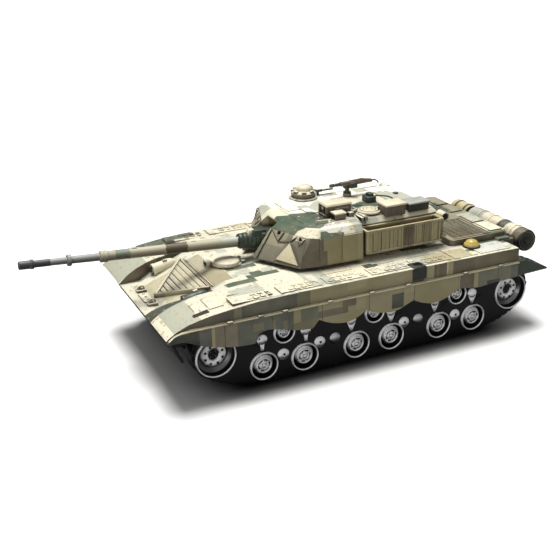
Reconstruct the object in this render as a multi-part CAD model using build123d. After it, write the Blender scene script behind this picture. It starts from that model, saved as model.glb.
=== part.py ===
from build123d import *
import math
import os

# Remote-controlled toy tank, millimetres.
# Frame: +X forward (gun end), +Y left, +Z up, origin on the ground under the
# centre of the overall length. The dimensions below are measured from a datum
# midway between the two end wheels of each side; save() moves every piece
# back by ORIGIN_X to bring it into the frame. One-sided parts are built on
# the left and mirrored to the right.

# ---------------------------------------------------------------- dimensions
SIDES = (-1, 1)                   # right, left

# hull
NOSE_X, NOSE_Z = 141.0, 45.2      # front edge of the hull
REAR_X = -112.0                   # rear end of the fenders
REAR_MID_X = -121.0               # rear end of the hull between the fenders
DECK_Z = 59.5
SHELL_Z0 = 41.0                   # split between upper shell and chassis
BAND_Y = 69.0                     # side face of the hull above the skirts
SHELL_LOW_Y = 66.0                # side face of the hull behind the skirts
TAIL_Y = 52.0                     # half width of the hull behind the fenders
WALL = 1.8                        # moulded wall

# side skirts
SKIRT_Y = 70.0                    # outer face
SKIRT_T = 1.8
SKIRT_TOP = 50.0
BAND_Z0 = SKIRT_TOP - 0.4         # underside of the hull's side band
LIP_Y = 71.2                      # ridge line along the top of the skirts
LIP_Z1 = SKIRT_TOP - 0.45

# chassis tub
TUB_Y = 38.0                      # half width
TUB_Z0 = 6.0                      # underside
TUB_WALL = 1.6
TUB_FLOOR = TUB_Z0 + TUB_WALL
TUB_IN_Y = TUB_Y - TUB_WALL
FLANGE_Y = 53.8
FLANGE_Z = 38.8
# x, y of the case screws
SCREWS = [(sx * 104.0, sy * 46.0) for sx in SIDES for sy in SIDES]
SCREWS += [(0.0, 46.0), (0.0, -46.0)]

# running-gear panel and the imitation wheels set in it
PANEL_IN_Y = 54.0
PANEL_OUT_Y = 65.6
WHEEL_FACE_Y = 67.0               # rims stand just proud of the panel
WHEEL_BACK_Y = 58.8
ROAD_X = (78.6, 50.5, 13.1, -13.1, -50.5, -78.6)
ROAD_Z, ROAD_R = 13.5, 9.55
END_XS = (110.0, -110.0)
END_Z, END_R = 26.6, 13.1
ROLLER_X, ROLLER_Z, ROLLER_R = (64.6, 0.0, -64.6), 33.3, 7.4
DISC_XZ = ((65.4, 18.5), (40.0, 21.2), (29.0, 21.4),
           (-22.6, 21.5), (-33.7, 21.3), (-63.4, 18.5))
DROP_X = (79.8, 49.9, 17.4, -12.3, -46.5, -77.0)

# real wheels, hidden behind the panels
TYRE_R, TYRE_W = 16.0, 9.0
HUB_R = 12.0
WHEEL_X, WHEEL_Z = 80.0, TYRE_R
WHEEL_IN_Y = 42.0                 # inner face
WHEEL_OUT_Y = WHEEL_IN_Y + TYRE_W
AXLE_R = 1.5
SHAFT_R = 0.8                     # motor and layshafts
MOTOR_R = 8.0
RUN = 0.05                        # radial running clearance

# drive gears
GEAR_MODULE = 0.5
SMALL_TEETH, BIG_TEETH = 12, 24
GEAR_SPACING = GEAR_MODULE * (SMALL_TEETH + BIG_TEETH) / 2 + 0.06
HALF_PITCH = math.radians(15)     # half a tooth pitch of a 12-tooth gear
LAYSHAFT_X = -WHEEL_X + GEAR_SPACING
MOTOR_X = LAYSHAFT_X + GEAR_SPACING

# turret
TURRET_Z0 = 62.0
ROOF_Z = 86.5
RING_R = 28.0                     # hole in the deck
RING_MODULE, RING_TEETH, RING_PINION = 0.8, 60, 12
TURRET_MOTOR_X = -(RING_MODULE * (RING_TEETH + RING_PINION) / 2 + 0.08)
CUPOLA_X, CUPOLA_Y = 5.5, -25.5
HATCH_X, HATCH_Y = -19.8, 20.0
MG_X, MG_Y, MG_Z = -24.0, -15.0, 95.6    # machine gun: post, bore height
MG_POST_R = 1.5

# gun
GUN_X, GUN_Z = 40.0, 70.7         # trunnion
GUN_TILT = 3.3                    # degrees the gun is raised
MUZZLE = 167.6                    # trunnion to muzzle
MUZZLE_R = 2.3
SLOT_Y = 8.0                      # half width of the gun slot

# rear drum with the canister beside it, and the filler cap
DRUM_X, DRUM_Z, DRUM_R = -133.0, 55.8, 7.9
DRUM_Y = (-10.0, 52.3)
CAN_X, CAN_Z, CAN_R = DRUM_X + 1.0, DRUM_Z + 1.6, 6.6
CAP_X, CAP_Y, CAP_R = -84.5, 52.4, 5.2

# battery opening in the floor, and the switch slot
BAY_X0, BAY_X1, BAY_Y = 18.0, 74.0, 16.0
SWITCH_SLOT = (-14.2, -6.2, -29.6, -26.4)    # x0, x1, y0, y1

# middle of the length from the back of the drum to the muzzle
TILT = math.radians(GUN_TILT)
MUZZLE_X = GUN_X + MUZZLE * math.cos(TILT) + MUZZLE_R * math.sin(TILT)
ORIGIN_X = round((MUZZLE_X + DRUM_X - DRUM_R) / 2, 3)


# ------------------------------------------------------------------- helpers
def save(shape, name):
    solids = [Pos(-ORIGIN_X, 0, 0) * s for s in shape.solids()]
    part = solids[0] if len(solids) == 1 else Compound(children=list(solids))
    export_step(part, f"parts/{name}.step")


def flip(shape):
    return mirror(shape, about=Plane.XZ)


def save_pair(shape, name):
    """Save a left-hand piece and its right-hand mirror image."""
    save(shape, f"left_{name}")
    save(flip(shape), f"right_{name}")


def fused(parts):
    """Add the parts together one at a time, in order."""
    total = parts[0]
    for part in parts[1:]:
        total = total + part
    return total


def largest(shape):
    return shape.solids().sort_by(SortBy.VOLUME)[-1]


def box(x0, x1, y0, y1, z0, z1):
    return Pos((x0 + x1) / 2, (y0 + y1) / 2, (z0 + z1) / 2) * Box(
        abs(x1 - x0), abs(y1 - y0), abs(z1 - z0))


def cyl_z(x, y, z0, z1, r):
    return Pos(x, y, (z0 + z1) / 2) * Cylinder(r, z1 - z0)


def cyl_y(x, z, y0, y1, r):
    return Pos(x, (y0 + y1) / 2, z) * Rot(90, 0, 0) * Cylinder(r, abs(y1 - y0))


def cyl_x(y, z, x0, x1, r):
    return Pos((x0 + x1) / 2, y, z) * Rot(0, 90, 0) * Cylinder(r, abs(x1 - x0))


def polygon(points):
    return make_face(Wire.make_polygon([Vector(*p) for p in points], close=True))


def prism_y(outline, y0, y1):
    """Closed X-Z outline swept from y0 to y1."""
    face = polygon([(x, y0, z) for x, z in outline])
    return extrude(face, amount=y1 - y0, dir=(0, 1, 0))


def prism_z(outline, z0, z1):
    """Closed X-Y outline swept from z0 to z1."""
    face = polygon([(x, y, z0) for x, y in outline])
    return extrude(face, amount=z1 - z0, dir=(0, 0, 1))


def skin(lower, upper):
    """Solid between two outlines with the same number of corners."""
    return loft([polygon(lower), polygon(upper)], ruled=True)


def level_skin(low_half, low_z, high_half, high_z):
    """Solid between two level outlines, each given by its left-hand (x, y) half."""
    def closed(rows, z):
        return [(x, y, z) for x, y in rows] + [(x, -y, z) for x, y in reversed(rows)]

    return skin(closed(low_half, low_z), closed(high_half, high_z))


def turned_y(profile, x, z):
    """Body of revolution about a line along Y; profile is (r, y) corners."""
    return revolve(polygon([(x + r, y, z) for r, y in profile]),
                   axis=Axis((x, 0, z), (0, 1, 0)))


def turned_z(profile, x, y):
    """Body of revolution about a line along Z; profile is (r, z) corners."""
    return revolve(polygon([(x + r, y, z) for r, z in profile]),
                   axis=Axis((x, y, 0), (0, 0, 1)))


def turned_x(profile):
    """Body of revolution about the X axis; profile is (x, r) corners."""
    return revolve(polygon([(x, 0, r) for x, r in profile]),
                   axis=Axis((0, 0, 0), (1, 0, 0)))


def curve_xz(points):
    return Spline(*[Vector(x, 0, z) for x, z in points])


def segments_xz(points):
    """Straight edges joining each X-Z point to the next."""
    return [Line(Vector(a[0], 0, a[1]), Vector(b[0], 0, b[1]))
            for a, b in zip(points[:-1], points[1:])]


def offset_line(points, distance):
    """Move an open X-Z line sideways, to the left of its run with X right and Z up."""
    out = []
    for i, (x, z) in enumerate(points):
        x0, z0 = points[max(0, i - 1)]
        x1, z1 = points[min(len(points) - 1, i + 1)]
        length = math.hypot(x1 - x0, z1 - z0)
        out.append((x - distance * (z1 - z0) / length, z + distance * (x1 - x0) / length))
    return out


def gear_outline(module, teeth, phase):
    """Involute spur gear outline as (u, v) points, slightly thinned for backlash."""
    pitch_r = module * teeth / 2
    base_r = pitch_r * math.cos(math.radians(20))
    tip_r = pitch_r + 0.88 * module
    root_r = pitch_r - 1.2 * module

    def involute(r):
        angle = math.acos(min(1.0, base_r / r))
        return math.tan(angle) - angle

    half_tooth = math.pi / (2 * teeth) * 0.86 + involute(pitch_r)
    start_r = max(base_r, root_r)
    radii = [start_r + (tip_r - start_r) * i / 4 for i in range(5)]
    flank = [(r, half_tooth - involute(r)) for r in radii]
    if root_r < base_r - 1e-6:
        flank = [(root_r, flank[0][1] * 1.02)] + flank
    points = []
    for k in range(teeth):
        middle = phase + 2 * math.pi * k / teeth
        for r, a in flank:
            points.append((r * math.cos(middle - a), r * math.sin(middle - a)))
        for r, a in reversed(flank):
            points.append((r * math.cos(middle + a), r * math.sin(middle + a)))
    return points


def gear_y(teeth, x, z, y0, y1, phase=0.0):
    outline = gear_outline(GEAR_MODULE, teeth, phase)
    return prism_y([(x + u, z + v) for u, v in outline], y0, y1)


def gear_z(teeth, x, y, z0, z1, phase=0.0):
    outline = gear_outline(RING_MODULE, teeth, phase)
    return prism_z([(x + u, y + v) for u, v in outline], z0, z1)


# ---------------------------------------------------------- hull upper shell
# deck line seen from the side, front to back: x, z
DECK_LINE = [(NOSE_X, NOSE_Z), (139.6, 46.5), (137.2, 48.1), (134.0, 49.9),
             (130.6, 51.4), (127.0, 52.7), (120.0, 54.4), (113.0, 55.7),
             (100.0, 57.3), (83.0, 58.7), (54.0, DECK_Z)]
# bottom and top of the sunken glacis slope: x, z
GLACIS_FOOT = (126.0, 43.6)
GLACIS_HEAD = (85.0, DECK_Z + 0.05)
# left half of the glacis trough and of the skin around it: x, y
TROUGH_HALF = [(84.0, 38), (100, 38), (118, 36), (142, 28)]
TROUGH_SKIN_HALF = [(82.0, 39.8), (100, 39.8), (118.5, 37.8), (144, 29.6)]

# splash board, a V pointing forward
APEX_X, ARM_X, ARM_Y = 124.6, 98.4, 27.9
BOARD_HALF_T = 0.9
RIB_X0, RIB_PITCH, RIB_COUNT = 99.0, 2.9, 8

TILE_XS = (70, 38, 6, -26, -58)
TILE_L = 28
BRACKET_YS = (-27.0, -18.0, -4.0, 20.0, 44.0)


def glacis_z(x):
    (foot_x, foot_z), (head_x, head_z) = GLACIS_FOOT, GLACIS_HEAD
    return foot_z + (foot_x - x) * (head_z - foot_z) / (foot_x - head_x)


def plan_prism(half, z0, z1):
    """Prism on a plan given by its left half, front end last."""
    return prism_z([(x, -y) for x, y in half] + half[::-1], z0, z1)


def shell_walls():
    upper = prism_y([(REAR_X, BAND_Z0), (REAR_X, DECK_Z)] + DECK_LINE[::-1]
                    + [(139.0, 43.4), (133.0, 43.4), (126.0, BAND_Z0)],
                    -BAND_Y, BAND_Y)
    lower = prism_y([(REAR_X, SHELL_Z0), (REAR_X, 52.0), (120.0, 52.0), (138.2, 46.0),
                     (139.0, 43.4), (137.3, SHELL_Z0)], -SHELL_LOW_Y, SHELL_LOW_Y)
    tail = prism_y([(REAR_MID_X, SHELL_Z0), (REAR_MID_X, DECK_Z),
                    (REAR_X + 4, DECK_Z), (REAR_X + 4, SHELL_Z0)], -TAIL_Y, TAIL_Y)
    outer = upper + lower + tail

    trough = plan_prism(TROUGH_HALF, 40, 80) & prism_y(
        [(142.0, 44.9), GLACIS_FOOT, GLACIS_HEAD, (85.0, 75), (142.0, 75)], -45, 45)

    ceiling = DECK_Z - WALL
    inner_line = [p for p in offset_line(DECK_LINE, WALL)[::-1] if p[0] < 132]
    inner_y = SHELL_LOW_Y - WALL
    cavity = prism_y([(REAR_X + WALL, SHELL_Z0 - 1), (REAR_X + WALL, ceiling)]
                     + inner_line + [(134.5, 47.0), (134.5, SHELL_Z0 - 1)],
                     -inner_y, inner_y)
    inner_y = TAIL_Y - WALL
    cavity += prism_y([(REAR_MID_X + WALL, SHELL_Z0 - 1), (REAR_MID_X + WALL, ceiling),
                       (REAR_X + 5, ceiling), (REAR_X + 5, SHELL_Z0 - 1)],
                      -inner_y, inner_y)
    cavity -= plan_prism(TROUGH_SKIN_HALF, 38, 80) & prism_y(
        [(144.0, 43.0), (126.2, 41.7), (80.5, ceiling), (80.5, 80), (144.0, 80)], -45, 45)

    walls = outer - trough - cavity
    walls -= cyl_z(0, 0, DECK_Z - 5, DECK_Z + 5, RING_R)
    # slot under the nose
    walls -= box(132.0, 145, -28, 28, 36, 43.3) & prism_y(
        [(134.5, 40), (134.5, 42.0), (150, 42.0), (150, 40)], -28, 28)
    return walls


def splash_wall(side):
    def outline(apex_rise, arm_rise):
        apex_z = glacis_z(APEX_X) + apex_rise
        arm_z = glacis_z(ARM_X) + arm_rise
        return [(APEX_X + BOARD_HALF_T, 0, apex_z), (APEX_X - BOARD_HALF_T, 0, apex_z),
                (ARM_X - BOARD_HALF_T, side * ARM_Y, arm_z),
                (ARM_X + BOARD_HALF_T, side * ARM_Y, arm_z)]

    return skin(outline(-0.3, -0.3), outline(2.4, 2.2))


def build_shell():
    shell = shell_walls()
    # screw bosses under the deck, shorter where the deck slopes down in front
    for x, y in SCREWS:
        top = 56.2 if x > 60 else DECK_Z - WALL + 0.2
        shell += cyl_z(x, y, SHELL_Z0, top, 3.2)
        shell -= cyl_z(x, y, SHELL_Z0 - 1, SHELL_Z0 + 10, 1.0)

    # splash board with ribs between its arms
    shell += fused([splash_wall(side) for side in SIDES])
    for i in range(RIB_COUNT):
        x = RIB_X0 + i * RIB_PITCH
        y = ARM_Y * (APEX_X - x) / (APEX_X - ARM_X) - 0.6
        z = glacis_z(x)
        shell += box(x - 0.45, x + 0.45, -y, y, z - 0.4, z + 0.85)

    # tow hooks moulded at the nose
    for side in SIDES:
        y = side * 12
        shell += box(128.5, 133.5, y - 1.6, y + 1.6, 43.0, 45.6)
        shell += cyl_y(131.8, 46.0, y - 0.8, y + 0.8, 1.5)

    # driver's hatch
    shell += turned_z([(0, DECK_Z - 0.5), (9.0, DECK_Z - 0.5), (9.0, DECK_Z + 0.5),
                       (8.2, DECK_Z + 1.1), (0, DECK_Z + 1.4)], 74.0, 0.0)

    for side in SIDES:
        # tiles along the fender, the front one lower on the sloping deck
        for x in TILE_XS:
            z = DECK_Z - (0.9 if x > 60 else 0)
            shell += box(x, x + TILE_L, side * 55, side * 66, z - 0.4, z + 0.5)
        # intake cover on the rear deck corner
        shell += box(-118.0, -108.0, side * 47.5, side * 51.5, DECK_Z - 0.3, DECK_Z + 1.6)

    # brackets that carry the drum and the canister behind the hull
    for y in BRACKET_YS:
        shell += box(DRUM_X + 3.0, REAR_MID_X + 0.5, y, y + 3.0, 50.0, 57.5)
    return shell


# -------------------------------------------------------------- chassis tub
# tub outlines seen from the side: x, z
TUB_OUT = [(-118.6, SHELL_Z0), (-118.6, 30.0), (-103.0, TUB_Z0), (103.0, TUB_Z0),
           (124.0, 26.0), (127.5, SHELL_Z0)]
TUB_IN = [(-117.0, SHELL_Z0 + 1), (-117.0, 30.4), (-102.1, TUB_FLOOR),
          (102.2, TUB_FLOOR), (122.5, 26.9), (125.8, SHELL_Z0 + 1)]
# bow plate seen from the side, middle part and full width part: x, z
BOW_MIDDLE = [(137.3, SHELL_Z0), (131.2, 27.6), (129.8, 28.2), (134.0, 37.4),
              (127.0, 37.4), (124.0, FLANGE_Z), (124.0, SHELL_Z0)]
BOW_WIDE = [(137.3, SHELL_Z0), (131.2, 27.6), (129.8, 28.2), (134.6, 38.6),
            (124.0, 38.9), (124.0, SHELL_Z0)]


def build_tub():
    tub = prism_y(TUB_OUT, -TUB_Y, TUB_Y) - prism_y(TUB_IN, -TUB_IN_Y, TUB_IN_Y)
    flange = box(-112.0, 124.0, -FLANGE_Y, FLANGE_Y, FLANGE_Z, SHELL_Z0)
    flange -= box(-130, 130, -TUB_IN_Y, TUB_IN_Y, 30, 50)
    tub += flange
    tub += prism_y(BOW_MIDDLE, -TUB_Y, TUB_Y)
    tub += prism_y(BOW_WIDE, -65.6, 65.6)
    tub -= prism_y(TUB_IN, -TUB_IN_Y, TUB_IN_Y)
    # room for the running-gear panels
    tub -= box(123.0, 127.6, -66, -54.0, 30, 50) + box(123.0, 127.6, 54.0, 66, 30, 50)
    for x, y in SCREWS:
        tub -= cyl_z(x, y, 30, 50, 1.2)

    # axle bosses: the front axle is held fast, the rear ones turn
    for side in SIDES:
        hole_y = (side * 30, side * 42)
        boss_y = (side * 34.9, side * 39.4)
        tub -= cyl_y(WHEEL_X, WHEEL_Z, *hole_y, AXLE_R)
        tub += cyl_y(-WHEEL_X, WHEEL_Z, *boss_y, 3.2)
        tub += (cyl_y(WHEEL_X, WHEEL_Z, *boss_y, 3.2)
                - cyl_y(WHEEL_X, WHEEL_Z, *hole_y, AXLE_R))
        tub -= cyl_y(-WHEEL_X, WHEEL_Z, *hole_y, AXLE_R + RUN)

    # battery opening with a wall at each end
    tub -= box(BAY_X0, BAY_X1, -BAY_Y, BAY_Y, 5, 9)
    for x in (BAY_X0 - 1.5, BAY_X1):
        tub += box(x, x + 1.5, -BAY_Y - 1.5, BAY_Y + 1.5, TUB_FLOOR - 0.1, 14)
    # speaker grille and switch slot
    for k in range(-2, 3):
        tub -= box(86.0, 101.0, k * 3.0 - 0.6, k * 3.0 + 0.6, 5, 9)
    tub -= box(*SWITCH_SLOT, 5, 9)
    # circuit board posts
    for x in (-9.0, 9.0):
        for y in (-20.0, 20.0):
            tub += cyl_z(x, y, TUB_FLOOR - 0.2, 24.0, 2.2)
    # hollow post that holds the turret motor
    tub += (cyl_z(TURRET_MOTOR_X, 0, TUB_FLOOR - 0.2, 31.0, 9.4)
            - cyl_z(TURRET_MOTOR_X, 0, 28.0, 32.0, 8.05)
            - cyl_z(TURRET_MOTOR_X, 0, TUB_FLOOR, 26.0, 7.4))
    return tub


def case_screw(x, y):
    """Cross-slotted screw, head down."""
    screw = cyl_z(x, y, 37.0, FLANGE_Z, 2.4) + cyl_z(x, y, FLANGE_Z - 0.1, 50.0, 1.0)
    screw -= box(x - 1.8, x + 1.8, y - 0.3, y + 0.3, 36, 37.7)
    screw -= box(x - 0.3, x + 0.3, y - 1.8, y + 1.8, 36, 37.7)
    return screw


# -------------------------------------------------------------- side skirts
# scalloped lower edge, front to back, one curve per row: x, z
SKIRT_LOBES = [
    [(139.6, 43.6), (131.0, 43.2), (121.5, 38.9), (112.2, 35.8), (98.3, 32.9), (86.0, 32.2)],
    [(83.1, 38.0), (76.5, 39.4), (69.1, 37.8), (59.0, 35.3), (46.8, 33.8)],
    [(42.4, 38.7), (36.0, 35.6), (28.0, 33.3), (21.7, 32.9), (14.0, 35.1), (8.6, 38.5)],
    [(8.6, 38.5), (2.0, 35.2), (-5.0, 33.7), (-14.9, 33.4), (-21.0, 35.6), (-27.1, 38.0)],
    [(-27.1, 38.0), (-33.5, 35.0), (-43.9, 32.8), (-52.9, 34.6), (-60.5, 38.4)],
    [(-60.5, 38.4), (-66.0, 38.8), (-79.2, 37.1), (-87.2, 37.7), (-100.0, 38.2),
     (REAR_X, 38.8)],
]
# upper edge, back to front: x, z
SKIRT_UPPER = [(REAR_X, SKIRT_TOP), (126.0, SKIRT_TOP), (131.0, 49.2), (135.6, 47.6),
               (139.4, 45.2), (140.8, 44.4)]
# rolled lip, lower edge forward then upper edge back: x, z
LIP = [(REAR_X, 49.0), (127.0, 49.0), (133.0, 47.6), (137.5, 45.6), (139.8, 43.6),
       (140.9, 44.5), (139.5, 45.7), (136.5, 47.9), (131.5, 49.4), (126.5, LIP_Z1),
       (REAR_X, LIP_Z1)]
# the hull's side band: x, z
HULL_BAND = [(REAR_X - 1, BAND_Z0), (126.0, BAND_Z0), (133.0, 43.4), (139.0, 43.4),
             (NOSE_X, NOSE_Z), (139.6, 46.5), (137.2, 48.1), (134.0, 49.9), (128.0, 53),
             (REAR_X - 1, 53)]
SKIRT_JOINT_XS = (105.0, 74.0, 40.0, 6.5, -27.5, -62.0, -95.0)


def build_skirt():
    edges = []
    for i, lobe in enumerate(SKIRT_LOBES):
        if i and SKIRT_LOBES[i - 1][-1] != lobe[0]:
            edges += segments_xz([SKIRT_LOBES[i - 1][-1], lobe[0]])
        edges.append(curve_xz(lobe))
    edges += segments_xz([SKIRT_LOBES[-1][-1]] + SKIRT_UPPER + [SKIRT_LOBES[0][0]])
    sheet = extrude(make_face(Wire(edges)), amount=SKIRT_T, dir=(0, 1, 0))
    skirt = Pos(0, SKIRT_Y - SKIRT_T, 0) * sheet
    # rolled lip along the top and the inner flange that seats on the hull
    skirt += prism_y(LIP, SKIRT_Y - 0.6, LIP_Y)
    skirt += box(REAR_X, 118.0, SHELL_LOW_Y, SKIRT_Y - SKIRT_T + 0.1, 46.5, LIP_Z1)
    # cut back what would enter the hull's side band
    skirt -= prism_y(HULL_BAND, 60, BAND_Y)
    # panel joints pressed into the outer face
    for x in SKIRT_JOINT_XS:
        skirt -= box(x - 0.35, x + 0.35, SKIRT_Y - 0.35, SKIRT_Y + 0.2, 30, 48.6)
    return skirt


# ------------------------------------------------------- running-gear panels
# lower edge of the panel's front half, from the middle forward: x, z
PANEL_HALF = [(0, 1.0), (40, 1.0), (60, 1.05), (75, 1.9), (89, 3.5), (102, 6.4),
              (112, 10.7), (119, 15.8), (123.4, 22.0), (124.9, 29.0), (123.9, 34.8),
              (121.4, 38.6)]


def panel_face(inset):
    """Closed outline of the panel, moved inwards by inset."""
    front = offset_line(PANEL_HALF, inset)
    bottom = [(-x, z) for x, z in reversed(front[1:])] + front
    step_z, top_z = 38.6 - inset, SHELL_Z0 - inset
    top = [(99.0 - inset, step_z), (98.0 - inset, top_z),
           (-98.0 + inset, top_z), (-99.0 + inset, step_z)]
    edges = [curve_xz(bottom)] + segments_xz([bottom[-1]] + top + [bottom[0]])
    return make_face(Wire(edges))


def panel_layer(inset, y, depth):
    return Pos(0, y, 0) * extrude(panel_face(inset), amount=depth, dir=(0, 1, 0))


def build_panel():
    depth = PANEL_OUT_Y - PANEL_IN_Y
    panel = panel_layer(0.0, PANEL_IN_Y, depth - 1.6)
    panel += panel_layer(1.4, PANEL_OUT_Y - 1.65, 1.65)
    panel -= panel_layer(1.6, PANEL_IN_Y - 1, depth - 1.2)
    # wheel openings
    for x in ROAD_X:
        panel -= cyl_y(x, ROAD_Z, 58.6, 70, ROAD_R + 0.03)
    for x in END_XS:
        panel -= cyl_y(x, END_Z, 58.6, 70, END_R + 0.03) & box(-130, 130, 55, 75, 0, 38.0)
    for x in ROLLER_X:
        panel -= (cyl_y(x, ROLLER_Z, 58.6, 70, ROLLER_R + 0.03)
                  & box(-130, 130, 55, 75, 0, SHELL_Z0 - 1.6))
    return panel


def rim_profile(r):
    """Outer part of a wheel face from its back to just inside the rim: r, y."""
    return [(0, WHEEL_BACK_Y), (r - 2.2, WHEEL_BACK_Y), (r, 60.4), (r, WHEEL_FACE_Y - 0.3),
            (r - 0.3, WHEEL_FACE_Y), (r - 0.9, WHEEL_FACE_Y)]


def wheel_face(x, z, r, hub, cap, floor_y):
    """Recessed wheel: thin rim, conical dish, raised hub and cap."""
    return turned_y(rim_profile(r)
                    + [(r - 1.2, WHEEL_FACE_Y - 0.7), (r - 2.4, floor_y + 0.2),
                       (hub + 0.7, floor_y), (hub, 65.4), (hub - 0.6, 65.9),
                       (cap + 0.3, 65.9), (cap, 66.6), (0, 66.8)], x, z)


def build_road_wheels():
    """Road wheels and return rollers; the rollers are cut off under the panel's top."""
    wheels = [wheel_face(x, ROAD_Z, ROAD_R, hub=5.4, cap=1.7, floor_y=61.2)
              for x in ROAD_X]
    for x in ROLLER_X:
        wheels.append(wheel_face(x, ROLLER_Z, ROLLER_R, hub=3.6, cap=1.4, floor_y=61.6)
                      & box(-130, 130, 50, 80, 0, SHELL_Z0 - 1.7))
    return fused(wheels)


def end_wheel(x):
    """Deep dish with a low hub, a ring of eight holes and a cut-off top."""
    wheel = turned_y(rim_profile(END_R)
                     + [(END_R - 1.1, WHEEL_FACE_Y - 0.7), (END_R - 1.1, 62.8),
                        (10.2, 61.4), (8.8, 60.4), (8.1, 60.4), (8.1, 61.8), (7.4, 62.4),
                        (4.1, 62.5), (3.6, 62.2), (0, 62.2)], x, END_Z)
    wheel -= cyl_y(x, END_Z, 60.8, 70, 3.5)
    for k in range(8):
        a = math.radians(22.5 + 45 * k)
        wheel -= cyl_y(x + 5.9 * math.cos(a), END_Z + 5.9 * math.sin(a), 61.2, 70, 0.85)
    return wheel & box(-130, 130, 50, 80, 0, 37.9)


def clear_of_wheels(part):
    for x in ROAD_X:
        part -= cyl_y(x, ROAD_Z, 60, 70, ROAD_R + 0.05)
    for x in ROLLER_X:
        part -= cyl_y(x, ROLLER_Z, 60, 70, ROLLER_R + 0.05)
    return part


def drop_cap(x):
    """Disc drawn out to a point towards the road wheel below it."""
    disc_z, disc_r, tip_z = 31.6, 3.1, 25.0
    start = math.acos(disc_r / (disc_z - tip_z))
    angles = [start + (2 * math.pi - 2 * start) * i / 22 for i in range(23)]
    outline = [(x + disc_r * math.sin(a), disc_z - disc_r * math.cos(a)) for a in angles]
    outline += [(x - 0.25, tip_z), (x + 0.25, tip_z)]
    return largest(clear_of_wheels(prism_y(outline, PANEL_OUT_Y, 66.7)))


def build_suspension_caps():
    profile = [(0, PANEL_OUT_Y), (3.9, PANEL_OUT_Y), (3.9, 66.3), (3.3, 66.8),
               (1.6, 66.8), (1.2, 66.3), (0, 66.3)]
    caps = [clear_of_wheels(turned_y(profile, x, z)) for x, z in DISC_XZ]
    return fused(caps + [drop_cap(x) for x in DROP_X])


# ------------------------------------------- engine deck and rear attachments
DECK_TOP = 63.9
GROOVE_X0, GROOVE_PITCH, GROOVE_COUNT = -77.5, 2.1, 11
DRUM_GROOVE_YS = (2.0, 14.0, 27.0, 40.0)


def build_engine_deck():
    deck = prism_z([(-120.0, -44), (-117.0, -46.5), (-74.0, -46.5), (-72.0, -44.5),
                    (-72.0, 44.5), (-74.0, 46.5), (-117.0, 46.5), (-120.0, 44)],
                   DECK_Z, DECK_TOP)
    deck -= prism_z([(-118.4, -44.9), (-73.6, -44.9), (-73.6, 44.9), (-118.4, 44.9)],
                    DECK_Z - 1, 62.3)
    for k in range(GROOVE_COUNT):
        x = GROOVE_X0 - k * GROOVE_PITCH
        deck -= box(x - 0.5, x + 0.5, 8, 42, 63.3, 65)
        deck -= box(x - 0.5, x + 0.5, -42, -8, 63.3, 65)
    # round cover in the middle, flat plates behind it
    deck += turned_z([(0, 63.8), (6.5, 63.8), (6.5, 64.1), (5.6, 64.3), (0, 64.3)],
                     -88.0, 0.0)
    for side in SIDES:
        deck += box(-117.0, -106.0, side * 6.0, side * 20.0, 63.8, 64.25)
        deck += box(-117.0, -106.0, side * 25.0, side * 40.0, 63.8, 64.25)
    return deck


def rounded_cyl_y(x, z, y0, y1, r):
    cylinder = cyl_y(x, z, y0, y1, r)
    return fillet(cylinder.edges().filter_by(GeomType.CIRCLE), 1.0)


def build_drum():
    drum = rounded_cyl_y(DRUM_X, DRUM_Z, *DRUM_Y, DRUM_R)
    # recessed ends, each with a boss
    for y, s in zip(DRUM_Y, SIDES):
        drum -= cyl_y(DRUM_X, DRUM_Z, y - s * 0.8, y + s * 1.0, DRUM_R - 1.6)
        drum += cyl_y(DRUM_X, DRUM_Z, y - s * 1.4, y - s * 0.1, 2.2)
    for y in DRUM_GROOVE_YS:
        drum -= (cyl_y(DRUM_X, DRUM_Z, y - 0.7, y + 0.7, DRUM_R + 1)
                 - cyl_y(DRUM_X, DRUM_Z, y - 0.8, y + 0.8, DRUM_R - 0.35))
    # shorter canister to the right of it
    can = rounded_cyl_y(CAN_X, CAN_Z, -32.0, DRUM_Y[0] - 2.5, CAN_R)
    return Compound(children=[drum, can])


def drum_room():
    """Space of the drum and canister, cut from the hull brackets."""
    return (cyl_y(DRUM_X, DRUM_Z, DRUM_Y[0], 60, DRUM_R)
            + cyl_y(CAN_X, CAN_Z, -40, DRUM_Y[0] - 1.0, CAN_R))


def build_mudflaps():
    flap = prism_y([(REAR_X, 39.2), (REAR_X, 49.9), (-118.5, 49.6), (-138.0, 41.0),
                    (-138.0, 39.9), (-120.0, 39.2)], 53.0, 69.8)
    flap -= prism_y([(REAR_X - 1.4, 38.0), (REAR_X - 1.4, 48.4), (-118.2, 48.2),
                     (-135.0, 40.6), (-134.0, 38.0)], 54.4, 68.4)
    flap -= box(-140, -100, 53, 72, 30, 39.21)
    return flap + flip(flap)


def build_cap():
    return turned_z([(0, DECK_Z), (CAP_R, DECK_Z), (CAP_R, DECK_Z + 1.0),
                     (4.7, DECK_Z + 1.6), (4.4, DECK_Z + 2.6), (3.4, DECK_Z + 3.9),
                     (1.8, DECK_Z + 4.6), (0, DECK_Z + 4.8)], CAP_X, CAP_Y)


# ---------------------------------------------------------------- headlights
POD_R, POD_L = 3.9, 15.0


def build_headlights(shell):
    """Pods, lenses and LEDs on the glacis beside the fender walls."""
    # each is drawn along X with its front face at x = 0
    body = cyl_x(0, 0, -POD_L, 0, POD_R) - cyl_x(0, 0, -6.0, 0, POD_R - 0.9)
    lens = cyl_x(0, 0, -1.5, -0.3, POD_R - 0.95)
    led = cyl_x(0, 0, -4.9, -1.9, 1.5) + cyl_x(0, 0, -5.9, -4.9, 1.8)
    places = [Pos(117.0, s * 30.4, 50.0) * Rot(0, 0, s * -2.0) * Rot(0, 10.0, 0)
              for s in SIDES]
    return [fused([largest(place * piece - shell) for place in places])
            for piece in (body, lens, led)]


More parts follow.
